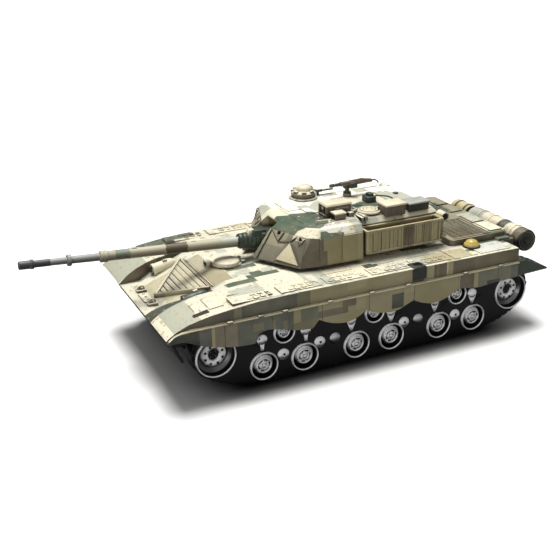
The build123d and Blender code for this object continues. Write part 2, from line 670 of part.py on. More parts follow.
# ---------------------------------------------------------- inside the hull
def build_battery():
    """Four cells in two rows, joined by a strip."""
    cells = [cyl_x(y, 15.6, x, x + 25.6, 7.0) for y in (-7.6, 7.6) for x in (20.0, 46.2)]
    return fused(cells) + box(20.0, 71.8, -6.5, 6.5, 12.0, 14.0)


def build_battery_door():
    gap = 0.2
    door = box(BAY_X0 + gap, BAY_X1 - gap, -BAY_Y + gap, BAY_Y - gap, TUB_Z0, TUB_FLOOR)
    for k in range(6):
        door -= box(24.0 + k * 3.2, 25.2 + k * 3.2, -8, 8, TUB_Z0 - 1, TUB_Z0 + 0.5)
    door -= cyl_z(68.0, 0, TUB_Z0 - 1, TUB_Z0 + 0.6, 2.4)
    return door


def build_board():
    """Plate with two blocks, a can and a thin upright pin."""
    board = box(-13.0, 13.0, -24.0, 24.0, 24.0, 25.6)
    board += box(-6.0, 2.0, -8.0, 0.0, 25.5, 27.2)
    board += box(5.0, 11.0, 4.0, 16.0, 25.5, 29.5)
    board += cyl_z(-8.0, 12.0, 25.5, 33.0, 3.0)
    board += cyl_z(-10.5, -20.0, 25.5, 37.5, 0.6)
    return board


def build_speaker():
    return turned_z([(0, TUB_FLOOR), (9.4, TUB_FLOOR), (9.4, 9.4), (7.0, 11.2),
                     (5.0, 11.2), (5.0, 14.0), (0, 14.0)], 92.2, 0.0)


def build_switch_body():
    return box(-17.0, -3.4, -31.0, -25.0, TUB_FLOOR, 13.0) - box(*SWITCH_SLOT, 5, 10.6)


def build_switch_knob():
    knob = box(-13.9, -9.6, -29.3, -26.7, 6.4, 10.3)
    for k in range(3):
        knob -= box(-13.0 + k * 1.1, -12.6 + k * 1.1, -30, -26, 6.0, 6.8)
    return knob


# --------------------------------------------------------------- drive units
def build_axle_gear():
    gear = (gear_y(BIG_TEETH, -WHEEL_X, WHEEL_Z, 23.4, 26.4)
            + cyl_y(-WHEEL_X, WHEEL_Z, 26.3, 27.4, 3.0))
    gear -= cyl_y(-WHEEL_X, WHEEL_Z, 20, 30, AXLE_R)
    return gear


def build_compound_gear():
    gear = (gear_y(SMALL_TEETH, LAYSHAFT_X, WHEEL_Z, 23.0, 27.8, HALF_PITCH)
            + gear_y(BIG_TEETH, LAYSHAFT_X, WHEEL_Z, 27.7, 30.4))
    gear -= cyl_y(LAYSHAFT_X, WHEEL_Z, 20, 34, SHAFT_R + RUN)
    return gear


def build_motor_pinion():
    """Pinion with the motor shaft."""
    return (gear_y(SMALL_TEETH, MOTOR_X, WHEEL_Z, 27.4, 30.8, HALF_PITCH)
            + cyl_y(MOTOR_X, WHEEL_Z, 14.0, 30.8, SHAFT_R))


def build_drive_motor():
    """Can with flats above and below."""
    motor = cyl_y(MOTOR_X, WHEEL_Z, 1.2, 21.2, MOTOR_R) & box(
        MOTOR_X - 10, MOTOR_X + 10, 0, 30, WHEEL_Z - 7.0, WHEEL_Z + 7.0)
    motor += cyl_y(MOTOR_X, WHEEL_Z, 20.8, 22.0, 3.0)
    motor -= cyl_y(MOTOR_X, WHEEL_Z, 13.0, 24.0, SHAFT_R + RUN)
    return motor


def build_gearbox_case():
    """Two side plates joined by a floor and end walls, with the layshaft."""
    x0, x1 = -WHEEL_X - 8.6, MOTOR_X + 5.4
    y0, y1 = 22.0, 32.8
    z0, z1 = 8.2, 24.2
    case = box(x0, x1, y0, y0 + 1.0, z0, z1) + box(x0, x1, 31.6, y1, z0, z1)
    case += box(x0, x1, y0, y1, TUB_FLOOR, 8.4)
    case += box(x0, x0 + 1.0, y0, y1, z0, z1) + box(x1 - 1.0, x1, y0, y1, z0, z1)
    case -= cyl_y(-WHEEL_X, WHEEL_Z, 20, 35, AXLE_R + RUN)
    case -= cyl_y(MOTOR_X, WHEEL_Z, 20, 24, 3.0)
    case += cyl_y(LAYSHAFT_X, WHEEL_Z, 22.1, 32.7, SHAFT_R)
    return case


def build_hub():
    boss_r, rim_r = 4.0, 10.2
    web_y0, web_y1 = WHEEL_IN_Y + 3.2, WHEEL_IN_Y + 5.2
    rim_y0, rim_y1 = WHEEL_IN_Y + 0.6, WHEEL_OUT_Y - 0.6
    boss_y1 = WHEEL_OUT_Y - 0.2
    return turned_y([(AXLE_R, WHEEL_IN_Y), (boss_r, WHEEL_IN_Y), (boss_r, web_y0),
                     (rim_r, web_y0), (rim_r, rim_y0), (HUB_R, rim_y0), (HUB_R, rim_y1),
                     (rim_r, rim_y1), (rim_r, web_y1), (boss_r, web_y1),
                     (boss_r, boss_y1), (AXLE_R, boss_y1)], -WHEEL_X, WHEEL_Z)


def build_tyre():
    """Tyre with two grooves around the tread."""
    tyre = turned_y([(HUB_R, WHEEL_IN_Y), (15.2, WHEEL_IN_Y), (TYRE_R, WHEEL_IN_Y + 0.9),
                     (TYRE_R, WHEEL_OUT_Y - 0.9), (15.2, WHEEL_OUT_Y),
                     (HUB_R, WHEEL_OUT_Y)], -WHEEL_X, WHEEL_Z)
    for y in (WHEEL_IN_Y + 3.0, WHEEL_IN_Y + 6.0):
        tyre -= turned_y([(TYRE_R - 0.5, y - 0.4), (TYRE_R + 1, y - 0.4),
                          (TYRE_R + 1, y + 0.4), (TYRE_R - 0.5, y + 0.4)],
                         -WHEEL_X, WHEEL_Z)
    return tyre


def save_drive():
    """Left and right drive units and the wheels at both ends."""
    save_pair(cyl_y(-WHEEL_X, WHEEL_Z, 20.6, 51.4, AXLE_R), "drive_axle")
    save_pair(build_axle_gear(), "axle_gear")
    save_pair(build_compound_gear(), "compound_gear")
    save_pair(build_motor_pinion(), "motor_pinion")
    save_pair(build_drive_motor(), "drive_motor")
    save_pair(build_gearbox_case(), "gearbox_case")
    hub, tyre = build_hub(), build_tyre()
    save_pair(hub, "rear_wheel_hub")
    save_pair(tyre, "rear_tyre")
    # the front wheels turn freely on their axle
    to_front = Pos(2 * WHEEL_X, 0, 0)
    save_pair(to_front * hub - cyl_y(WHEEL_X, WHEEL_Z, 40, 53, AXLE_R + RUN),
              "front_wheel_hub")
    save_pair(to_front * tyre, "front_tyre")
    save(cyl_y(WHEEL_X, WHEEL_Z, -51.6, 51.6, AXLE_R), "front_axle")


# -------------------------------------------------------------- turret drive
def build_base_ring():
    """Neck through the deck, retaining flange below, rim above, ring gear."""
    base = cyl_z(0, 0, 54.0, 63.4, RING_R - RUN)
    base += cyl_z(0, 0, 55.4, 57.3, 31.5)
    base += cyl_z(0, 0, 61.0, 62.0, 33.5)
    base += gear_z(RING_TEETH, 0, 0, 50.0, 54.2)
    base -= cyl_z(0, 0, 40, 70, 20.0)
    return base


def build_turret_motor():
    x = TURRET_MOTOR_X
    motor = cyl_z(x, 0, 28.0, 47.6, MOTOR_R) & box(x - 7, x + 7, -10, 10, 20, 50)
    motor += cyl_z(x, 0, 47.4, 48.6, 3.0)
    motor -= cyl_z(x, 0, 40.0, 50.0, SHAFT_R + RUN)
    return motor


def build_turret_pinion():
    """Pinion with the motor shaft."""
    return (gear_z(RING_PINION, TURRET_MOTOR_X, 0, 49.8, 54.0, HALF_PITCH)
            + cyl_z(TURRET_MOTOR_X, 0, 41.0, 54.0, SHAFT_R))


# -------------------------------------------------------- turret upper shell
# left halves of the level outlines, front to back: x, y
FRONT_LOW = [(60.0, 8.0), (41.0, 40.4), (28.0, 43.0), (-4.0, 43.6)]
FRONT_TOP = [(45.5, 8.0), (34.5, 38.2), (29.0, 42.2), (-4.0, 42.8)]
CROWN_TOP = [(39.0, 7.5), (31.0, 34.0), (26.5, 39.0), (-4.0, 40.5)]
BUSTLE_LOW = [(-3.5, 33.4), (-68.5, 32.2), (-70.5, 30.0)]
BUSTLE_MID = [(-3.5, 33.4), (-67.5, 32.2), (-70.0, 29.5)]
BUSTLE_TOP = [(-3.5, 31.4), (-64.0, 29.5), (-66.5, 27.0)]
ROOF_LOW = [(32.0, 26.0), (21.0, 35.0), (-6.0, 36.5), (-8.0, 29.0), (-58.0, 27.5)]
ROOF_TOP = [(30.0, 25.0), (20.0, 33.6), (-5.0, 35.0), (-7.0, 27.5), (-56.0, 25.5)]
# the same for the hollow inside
IN_FRONT_LOW = [(56.0, 10.0), (39.6, 38.6), (27.4, 41.0), (-2.2, 41.6)]
IN_FRONT_MID = [(43.0, 10.0), (29.4, 35.4), (24.8, 39.5), (-2.2, 40.1)]
IN_FRONT_TOP = [(36.5, 9.5), (26.0, 31.0), (21.8, 35.4), (-2.2, 36.6)]
IN_BUSTLE_LOW = [(0, 31.6), (-67.0, 30.4), (-68.6, 28.5)]
IN_BUSTLE_MID = [(0, 31.6), (-66.0, 30.4), (-68.2, 28.0)]
IN_BUSTLE_TOP = [(0, 29.8), (-62.8, 28.0), (-65.0, 25.6)]
# turret floor plan: x, y
FLOOR_PLAN = [(40.0, -20), (36.5, -38.4), (27, -40.6), (-2, -41.2), (-2, 41.2),
              (27, 40.6), (36.5, 38.4), (40.0, 20), (28.0, 20), (28.0, -20)]
FLOOR_T = 1.4
# recesses in the cheeks: x, y on the left, z
CHEEK_RECESSES = ((47.5, 17.0, 77.3), (38.6, 29.3, 77.0))


def build_turret():
    z0 = TURRET_Z0
    front = level_skin(FRONT_LOW, z0, FRONT_TOP, 81.0)
    crown = level_skin(FRONT_TOP, 81.0, CROWN_TOP, 85.6)
    bustle = level_skin(BUSTLE_LOW, 64.6, BUSTLE_MID, 81.5)
    bustle += level_skin(BUSTLE_MID, 81.5, BUSTLE_TOP, 85.0)
    roof = level_skin(ROOF_LOW, 84.8, ROOF_TOP, ROOF_Z)
    turret = front + crown + bustle + roof

    inside = level_skin(IN_FRONT_LOW, z0 - 1, IN_FRONT_MID, 79.4)
    inside += level_skin(IN_FRONT_MID, 79.3, IN_FRONT_TOP, 83.2)
    inside += level_skin(IN_BUSTLE_LOW, 66.2, IN_BUSTLE_MID, 80.5)
    inside += level_skin(IN_BUSTLE_MID, 80.4, IN_BUSTLE_TOP, 83.2)
    # the cheeks of the gun slot stay solid around the trunnion
    slot_walls = (box(26.0, 58.0, SLOT_Y, 11.2, z0 - 2, 84.0)
                  + box(26.0, 58.0, -11.2, -SLOT_Y, z0 - 2, 84.0))
    slot_walls = slot_walls & (front + crown)
    inside -= slot_walls
    turret = turret - inside
    turret -= box(29.0, 62.0, -SLOT_Y, SLOT_Y, z0 - 1, 83.4)
    turret -= box(41.0, 62.0, -SLOT_Y, SLOT_Y, z0 - 1, 90.0)

    # floor with the seat for the base ring
    turret += prism_z(FLOOR_PLAN, z0, z0 + FLOOR_T) - cyl_z(0, 0, z0 - 1, z0 + 3, RING_R)
    turret -= box(28.2, 62.0, -SLOT_Y, SLOT_Y, z0 - 1, 83.4)
    turret -= cyl_y(GUN_X, GUN_Z, -13, 13, 2.05)
    for side in SIDES:
        for x, y, z in CHEEK_RECESSES:
            turret -= Pos(x + 1.2, side * y, z) * Rot(0, 0, side * 58) * Box(3.2, 2.6, 3.0)

    # rims around the cupola and the loader's hatch
    turret += turned_z([(8.0, 86.2), (9.8, 86.2), (9.8, 87.3), (9.2, 87.8), (8.0, 87.8)],
                       CUPOLA_X, CUPOLA_Y)
    turret += turned_z([(6.6, 86.2), (8.0, 86.2), (8.0, 87.0), (6.6, 87.0)],
                       HATCH_X, HATCH_Y)
    # two small ribs on the left of the roof
    turret += box(-12.4, -10.6, 26.0, 32.0, 84.4, 86.0) + box(-9.6, -7.8, 26.0, 32.0, 84.4, 86.0)
    # pintle seat for the machine gun
    turret += cyl_z(MG_X, MG_Y, 86.3, 88.6, 3.0)
    turret -= cyl_z(MG_X, MG_Y, 80.0, 90.0, MG_POST_R + RUN)
    # rim around the base ring opening
    turret += (cyl_z(0, 0, z0, z0 + FLOOR_T, RING_R + 6)
               - cyl_z(0, 0, z0 - 1, z0 + 3, RING_R)) & box(-3.9, 28.3, -41, 41, 60, 65)
    turret -= cyl_z(0, 0, z0 - 1, z0 + 1.5, RING_R)
    return turret


def build_basket(turret):
    """Open stowage box on the side of the bustle."""
    wall_y = 33.45
    basket = prism_z([(-6.2, wall_y), (-6.2, 43.4), (-7.4, 44.0), (-64.0, 43.6),
                      (-65.8, 42.0), (-65.8, wall_y)], 64.6, 80.4)
    basket -= prism_z([(-7.6, 34.8), (-7.6, 42.4), (-63.8, 42.2), (-64.4, 41.6),
                       (-64.4, 34.8)], 66.0, 82)
    basket += box(-38.6, -37.4, 34.0, 43.0, 65.0, 78.6)    # divider
    for k in range(9):                                     # grooves outside
        x = -11.0 - k * 6.4
        basket -= box(x - 0.3, x + 0.3, 43.2, 45.0, 66.0, 78.6)
    # rim around the top
    basket += (prism_z([(-5.6, wall_y), (-5.6, 44.2), (-64.6, 44.4), (-66.4, 42.6),
                        (-66.4, wall_y)], 79.4, 80.6)
               - prism_z([(-7.6, 34.8), (-7.6, 42.6), (-63.8, 42.4), (-64.4, 41.8),
                          (-64.4, 34.8)], 78, 82))
    # plate, shelf and hollow boss behind the box
    basket += box(-71.6, -65.8, 35.0, 36.4, 66.0, 80.0) + box(-70.6, -66.6, 36.2, 41.8, 66.0, 68.0)
    basket += cyl_y(-68.8, 80.0, 34.6, 41.4, 3.0) - cyl_y(-68.8, 80.0, 37.0, 42.0, 1.8)
    basket -= turret
    return basket


# ------------------------------------------------------------- roof fittings
# x0, x1, y0, y1, z0, z1
ROOF_BOXES = ((2.0, 10.0, 24.8, 31.0, 85.0, 91.6),
              (-42.0, -27.2, 22.4, 33.6, 84.4, 92.6),
              (-62.0, -46.0, 21.0, 32.0, 84.4, 90.8))


def build_sight():
    sight = box(-6.0, 12.6, 12.6, 22.6, ROOF_Z, 95.4)
    sight = chamfer(sight.edges().filter_by(Axis.Y).sort_by(Axis.Z)[-2:], 1.2)
    # window in the front face
    sight -= box(11.8, 13.0, 14.0, 21.2, 88.2, 93.6)
    sight += box(7.0, 11.8, 14.4, 20.8, 88.6, 93.2)
    return sight


def build_roof_boxes(turret):
    boxes = [largest(box(*extents) - turret) for extents in ROOF_BOXES]
    # stepped periscope block
    periscope = (box(-35.0, -28.0, -1.0, 7.0, 84.4, 91.0)
                 + box(-33.6, -30.4, 1.0, 5.0, 90.9, 92.6) - turret)
    return Compound(children=boxes + [largest(periscope)])


def build_cupola(turret):
    cupola = turned_z([(0, ROOF_Z), (7.9, ROOF_Z), (7.9, 89.0), (9.0, 89.0), (9.0, 91.6),
                       (7.4, 92.4), (5.8, 92.6), (5.4, 94.6), (4.4, 95.6), (2.0, 96.0),
                       (0, 96.1)], CUPOLA_X, CUPOLA_Y) - turret
    # six blocks around it
    for k in range(6):
        degrees = 30 + 60 * k
        a = math.radians(degrees)
        place = Pos(CUPOLA_X + 8.1 * math.cos(a), CUPOLA_Y + 8.1 * math.sin(a), 91.2)
        cupola += place * Rot(0, 0, degrees) * Box(2.0, 3.2, 2.4)
    # rod that lies behind the cupola
    cupola += cyl_x(CUPOLA_Y - 1.0, 89.9, CUPOLA_X - 24.0, CUPOLA_X - 7.0, 0.9)
    return cupola


def build_hatch():
    return turned_z([(0, ROOF_Z), (6.5, ROOF_Z), (6.5, 87.7), (5.9, 88.1), (4.6, 88.1),
                     (4.4, 87.7), (3.4, 87.7), (3.2, 88.2), (2.0, 88.2), (1.8, 87.8),
                     (0, 87.8)], HATCH_X, HATCH_Y)


def build_machine_gun():
    """Machine gun on its post, free to swing."""
    x, y0, y1 = MG_X, MG_Y - 1.7, MG_Y + 1.7
    gun = cyl_z(x, MG_Y, 84.9, 94.0, MG_POST_R) + cyl_z(x, MG_Y, 88.65, 89.8, 2.6)
    gun += box(x - 2.4, x + 2.4, y0, y1, 92.4, 94.6)
    # body with its humped rear top
    gun += box(x - 20.0, x + 6.0, y0, y1, 94.2, 97.2)
    gun += prism_y([(x - 20.0, 94.2), (x - 20.0, 97.2), (x - 12.0, 98.0), (x - 6.0, 97.2)],
                   y0, y1)
    # barrel
    gun += (cyl_x(MG_Y, MG_Z, x + 5.8, x + 12.0, 0.85)
            + cyl_x(MG_Y, MG_Z, x + 10.6, x + 14.0, 1.3))
    # grip
    gun += prism_y([(x - 20.2, 95.2), (x - 24.0, 95.0), (x - 26.2, 92.8), (x - 25.0, 92.4),
                    (x - 23.4, 93.9), (x - 19.8, 94.2)], MG_Y - 0.7, MG_Y + 0.7)
    return gun


# ----------------------------------------------------------------------- gun
# both are drawn along X from the trunnion, then raised into place
RAISE_GUN = Pos(GUN_X, 0, GUN_Z) * Rot(0, -GUN_TILT, 0)
BARREL_X0, BARREL_R = 18.0, 3.6   # the barrel's rear end, seated in the mantlet
BORE_X, BORE_R = MUZZLE - 14, 1.3
# barrel outline with its sleeves and muzzle bore: x, r
BARREL_PROFILE = [
    (BARREL_X0, 0), (BARREL_X0, BARREL_R), (60.0, 3.45), (86.0, 3.2), (112.6, 3.15),
    (112.9, 3.6), (116.6, 3.6), (116.9, 2.45), (134.6, 2.3), (134.9, 3.7), (138.4, 3.7),
    (138.7, 2.1), (158.8, 2.0), (159.1, 3.0), (161.0, 3.0), (161.3, 2.6),
    (MUZZLE - 0.8, 2.6), (MUZZLE, MUZZLE_R), (MUZZLE, BORE_R), (BORE_X, BORE_R),
    (BORE_X, 0)]


def build_mantlet():
    mantlet = cyl_y(0, 0, -7.4, 7.4, 6.4)
    mantlet += box(0, 12.0, -7.2, 7.2, -5.8, 5.9)
    mantlet += turned_x([(11.5, 0), (11.5, 6.2), (13.0, 6.3), (26.8, 5.3), (27.6, 4.6),
                         (27.6, 0)])
    mantlet += cyl_y(0, 0, -11.0, 11.0, 2.0)    # trunnion pins
    mantlet += box(10.5, 17.5, -4.6, 4.6, 4.0, 8.2)
    mantlet -= turned_x([(BARREL_X0, 0), (BARREL_X0, BARREL_R), (30.0, BARREL_R), (30.0, 0)])
    return RAISE_GUN * mantlet


# --------------------------------------------------- build and write the parts
os.makedirs("parts", exist_ok=True)

hull_shell = build_shell()
light_pods, light_lenses, light_leds = build_headlights(hull_shell)
hull_shell -= drum_room()
hull_shell -= cyl_z(CAP_X, CAP_Y, DECK_Z, DECK_Z + 3, CAP_R + 0.05)
light_pods = light_pods - hull_shell
case_screws = fused([case_screw(x, y) for x, y in SCREWS])

save(hull_shell, "hull_upper_shell")
save(build_tub() - case_screws, "chassis_tub")
save(case_screws, "hull_screws")
save_pair(build_skirt(), "side_skirt")
save_pair(build_panel(), "running_gear_panel")
save_pair(build_road_wheels(), "road_wheel_faces")
save_pair(fused([end_wheel(x) for x in END_XS]), "end_wheel_faces")
save_pair(build_suspension_caps(), "suspension_caps")
save(build_engine_deck(), "engine_deck")
save(build_drum(), "rear_drum")
save(build_mudflaps(), "rear_mudflaps")
save(light_pods, "headlight_pods")
save(light_lenses - light_pods, "headlight_lenses")
save(light_leds, "headlight_leds")
save(build_cap() - hull_shell, "fuel_cap")
save(build_battery(), "battery_pack")
save(build_battery_door(), "battery_door")
save(build_board(), "circuit_board")
save(build_speaker(), "speaker")
save(build_switch_body(), "power_switch_body")
save(build_switch_knob(), "power_switch_knob")
save_drive()

save(build_turret_motor(), "turret_motor")
save(build_turret_pinion(), "turret_pinion")
save(build_base_ring(), "turret_base_ring")
turret_shell = build_turret()
save(turret_shell, "turret_upper_shell")
save_pair(build_basket(turret_shell), "stowage_basket")
save(build_sight(), "sight_housing")
save(build_roof_boxes(turret_shell), "roof_boxes")
save(build_cupola(turret_shell), "commander_cupola")
save(build_hatch(), "loader_hatch")
save(build_machine_gun(), "machine_gun")
save(build_mantlet(), "gun_mantlet")
save(RAISE_GUN * turned_x(BARREL_PROFILE), "gun_barrel")
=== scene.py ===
"""A toy battle tank: hull with running gear, turret, roof machine gun and main gun.

The gun points along +X, +Y is the tank's left side, Z is up and the floor is Z 0. Shapes and
paint are laid out in millimetres from the point midway between the end wheels (the datum).
"""
import bpy
import bmesh
from math import cos, degrees, hypot, pi, radians, sin
from mathutils import Matrix, Vector


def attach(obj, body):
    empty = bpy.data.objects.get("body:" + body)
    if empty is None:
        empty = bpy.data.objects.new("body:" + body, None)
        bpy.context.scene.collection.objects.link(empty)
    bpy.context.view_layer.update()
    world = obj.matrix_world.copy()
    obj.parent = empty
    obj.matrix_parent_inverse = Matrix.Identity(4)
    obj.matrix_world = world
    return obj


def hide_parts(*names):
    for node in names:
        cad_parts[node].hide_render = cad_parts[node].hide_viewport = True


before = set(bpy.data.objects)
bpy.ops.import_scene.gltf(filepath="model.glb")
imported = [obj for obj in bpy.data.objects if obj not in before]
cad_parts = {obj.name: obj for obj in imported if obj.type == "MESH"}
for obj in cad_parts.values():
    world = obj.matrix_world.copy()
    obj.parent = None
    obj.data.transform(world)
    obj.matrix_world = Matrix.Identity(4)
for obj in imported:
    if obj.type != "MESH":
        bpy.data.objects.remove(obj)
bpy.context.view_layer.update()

MM = 0.001
DATUM_X = 33.277         # the frame origin lies this far ahead of the datum

# running gear, in X and Z
ROAD_X = (78.6, 50.5, 13.1, -13.1, -50.5, -78.6)
ROAD_Z, ROAD_RADIUS = 13.5, 9.55
ROLLER_X = (64.6, 0, -64.6)
ROLLER_Z, ROLLER_RADIUS = 33.3, 7.4
END_X, END_Z, END_RADIUS = 110, 26.6, 13

# the gun swings about this point and is raised by this many degrees
GUN_X, GUN_Z, GUN_RISE = 40, 70.7, 3.3

# colours are sRGB triples, 0 to 255
CREAM = (228, 220, 194)
PALE = (214, 210, 190)
GREYGREEN = (182, 184, 168)
SAND = (196, 184, 142)
KHAKI = (148, 139, 105)
OLIVE = (114, 110, 86)
BROWN = (98, 88, 70)
GREEN = (70, 86, 68)
ROOFGREEN = (64, 84, 66)
DARKGREEN = (46, 56, 46)
WHITE = (240, 238, 224)
# sand darkened as painted shade, for sand patches on the sides
SHADED_SAND = (158, 149, 114)
BLACKGREEN = (44, 48, 42)


def linear(colour):
    """An sRGB triple as linear RGBA; sockets and RGBA values pass through."""
    if not isinstance(colour, tuple) or len(colour) != 3:
        return colour
    parts = [part / 255.0 for part in colour]
    parts = [c / 12.92 if c <= 0.04045 else ((c + 0.055) / 1.055) ** 2.4 for c in parts]
    return (*parts, 1.0)


def add_object(name, data):
    thing = bpy.data.objects.new(name, data)
    bpy.context.scene.collection.objects.link(thing)
    return thing


# ---- shader nodes ----------------------------------------------------------
class Nodes:
    """Short calls that add nodes to a tree; inputs take a socket or a value."""

    def __init__(self, tree):
        self.tree = tree

    def feed(self, socket, value):
        if isinstance(value, bpy.types.NodeSocket):
            self.tree.links.new(value, socket)
        else:
            socket.default_value = value

    def node(self, kind, *values, **settings):
        """A node with its settings, and its first inputs fed in order."""
        node = self.tree.nodes.new(kind)
        for key, value in settings.items():
            setattr(node, key, value)
        for index, value in enumerate(values):
            self.feed(node.inputs[index], value)
        return node

    def vector(self, operation, *values):
        node = self.node("ShaderNodeVectorMath", *values, operation=operation)
        return node.outputs["Vector"]

    def dot(self, first, second):
        node = self.node("ShaderNodeVectorMath", first, second, operation="DOT_PRODUCT")
        return node.outputs["Value"]

    def number(self, operation, *values):
        return self.node("ShaderNodeMath", *values, operation=operation).outputs[0]

    def mix(self, factor, first, second, blend="MIX"):
        node = self.node("ShaderNodeMix", data_type="RGBA", blend_type=blend)
        self.feed(node.inputs["Factor"], factor)
        self.feed(node.inputs[6], linear(first))
        self.feed(node.inputs[7], linear(second))
        return node.outputs[2]

    def remap(self, value, span, to=(0, 1), kind="LINEAR"):
        node = self.node("ShaderNodeMapRange", value, *span, *to, interpolation_type=kind)
        return node.outputs[0]

    def noise(self, place, scale, detail=2, rough=0.5):
        node = self.node("ShaderNodeTexNoise")
        self.feed(node.inputs["Vector"], place)
        self.feed(node.inputs["Scale"], scale)
        self.feed(node.inputs["Detail"], detail)
        self.feed(node.inputs["Roughness"], rough)
        return node.outputs["Fac"]

    def ramp(self, factor, stops, kind="CONSTANT"):
        node = self.node("ShaderNodeValToRGB", factor)
        node.color_ramp.interpolation = kind
        elements = node.color_ramp.elements
        while len(elements) > 1:
            elements.remove(elements[-1])
        for index, (position, colour) in enumerate(stops):
            element = elements.new(position) if index else elements[0]
            element.position = position
            element.color = linear(colour)
        return node.outputs[0]

    def axes(self, value):
        return self.node("ShaderNodeSeparateXYZ", value).outputs


def build_patch_group():
    """A group that paints inside a box given by its centre C and half size H."""
    group = bpy.data.node_groups.new("paint_patch", "ShaderNodeTree")
    for name, kind in (("P", "Vector"), ("C", "Vector"), ("H", "Vector"),
                       ("Base", "Color"), ("Paint", "Color")):
        group.interface.new_socket(name, in_out="INPUT", socket_type="NodeSocket" + kind)
    group.interface.new_socket("Color", in_out="OUTPUT", socket_type="NodeSocketColor")
    nodes = Nodes(group)
    given = nodes.node("NodeGroupInput").outputs
    result = nodes.node("NodeGroupOutput")
    offset = nodes.vector("ABSOLUTE", nodes.vector("SUBTRACT", given["P"], given["C"]))
    x, y, z = nodes.axes(nodes.vector("SUBTRACT", offset, given["H"]))
    outside = nodes.number("MAXIMUM", nodes.number("MAXIMUM", x, y), z)
    inside = nodes.number("LESS_THAN", outside, 0)
    nodes.feed(result.inputs[0], nodes.mix(inside, given["Base"], given["Paint"]))
    return group


PATCH_GROUP = build_patch_group()


class Material(Nodes):
    """A material; `place` is the position in millimetres from the datum."""

    def __init__(self, name):
        self.material = bpy.data.materials.new(name)
        self.material.use_nodes = True
        super().__init__(self.material.node_tree)
        self.tree.nodes.clear()
        output = self.node("ShaderNodeOutputMaterial")
        self.shader = self.node("ShaderNodeBsdfPrincipled")
        self.feed(output.inputs[0], self.shader.outputs[0])
        coords = self.node("ShaderNodeTexCoord")
        scaled = self.node("ShaderNodeVectorMath", coords.outputs["Object"], operation="SCALE")
        scaled.inputs["Scale"].default_value = 1 / MM
        self.place = self.vector("ADD", scaled.outputs["Vector"], (DATUM_X, 0, 0))
        self.geometry = None

    def surface(self, output):
        """An output of the one geometry node that masks share."""
        if self.geometry is None:
            self.geometry = self.node("ShaderNodeNewGeometry")
        return self.geometry.outputs[output]

    def cells(self, size, offset=(0.37, 0.21, 0.43)):
        """Position snapped to blocks, so a colour is constant inside a block."""
        cell = self.vector("DIVIDE", self.place, size)
        cell = self.vector("FLOOR", self.vector("ADD", cell, offset))
        return self.vector("MULTIPLY", self.vector("ADD", cell, (0.5, 0.5, 0.5)), size)

    def patch(self, base, colour, x0, x1, y0, y1, z0, z1):
        node = self.node("ShaderNodeGroup", node_tree=PATCH_GROUP)
        self.feed(node.inputs["P"], self.place)
        node.inputs["C"].default_value = ((x0 + x1) / 2, (y0 + y1) / 2, (z0 + z1) / 2)
        node.inputs["H"].default_value = (abs(x1 - x0) / 2, abs(y1 - y0) / 2, abs(z1 - z0) / 2)
        self.feed(node.inputs["Base"], base)
        node.inputs["Paint"].default_value = linear(colour)
        return node.outputs[0]

    def outline(self, base, colour, points, low, high):
        """Paint inside a convex outline seen from above, between two heights."""
        sides = list(zip(points, points[1:] + points[:1]))
        area = sum(a[0] * b[1] - b[0] * a[1] for a, b in sides)
        turn = 1.0 if area > 0 else -1.0
        z = self.axes(self.place)[2]
        inside = self.number("MINIMUM", self.number("SUBTRACT", z, low),
                             self.number("SUBTRACT", high, z))
        for (x0, y0), (x1, y1) in sides:
            length = hypot(x1 - x0, y1 - y0)
            across_x, across_y = -turn * (y1 - y0) / length, turn * (x1 - x0) / length
            reach = self.number("SUBTRACT", self.dot(self.place, (across_x, across_y, 0)),
                                across_x * x0 + across_y * y0)
            inside = self.number("MINIMUM", inside, reach)
        return self.mix(self.number("GREATER_THAN", inside, 0), base, colour)

    def mottle(self, colour, noise, dark, light, start=0.3):
        """Darken and lighten a colour slightly with a noise."""
        stops = [(start, (dark, dark, dark, 1)), (0.7, (light, light, light, 1))]
        return self.mix(1, colour, self.ramp(noise, stops, "LINEAR"), "MULTIPLY")

    def corner_dirt_and_shade(self, colour, reach, amount, dirt_and_shade_colour, clean=0.9):
        """Darker in corners, over a reach in metres: dirt and painted shade."""
        node = self.node("ShaderNodeAmbientOcclusion", samples=4)
        node.inputs["Distance"].default_value = reach
        mask = self.remap(node.outputs["AO"], (0.25, clean), to=(amount, 0))
        return self.mix(mask, colour, dirt_and_shade_colour)

    def rounded(self, radius):
        """Shading normal with softened edges."""
        node = self.node("ShaderNodeBevel", samples=4)
        node.inputs["Radius"].default_value = radius
        return node.outputs[0]

    def edge_wear_and_highlight(self, colour, normal, noise, paint, amount, span=(0.4, 0.6)):
        """Paler edges, broken up by a noise: worn paint and a painted highlight where edges catch
        the light.
        """
        edge = self.remap(self.dot(normal, self.surface("Normal")), (0.985, 0.80))
        edge = self.number("MULTIPLY", edge, self.remap(noise, span, to=amount))
        return self.mix(edge, colour, paint)

    def bump(self, height, depth, normal):
        node = self.node("ShaderNodeBump")
        node.inputs["Strength"].default_value = 1
        node.inputs["Distance"].default_value = depth
        self.feed(node.inputs["Height"], height)
        self.feed(node.inputs["Normal"], normal)
        return node.outputs[0]

    def finish(self, colour, rough, normal=None, spec=None, metal=None, coat=None):
        inputs = {"Base Color": colour, "Roughness": rough, "Metallic": metal,
                  "Specular IOR Level": spec, "Coat Weight": coat,
                  "Coat Roughness": None if coat is None else 0.12, "Normal": normal}
        for key, value in inputs.items():
            if value is not None:
                self.feed(self.shader.inputs[key], value)
        return self.material


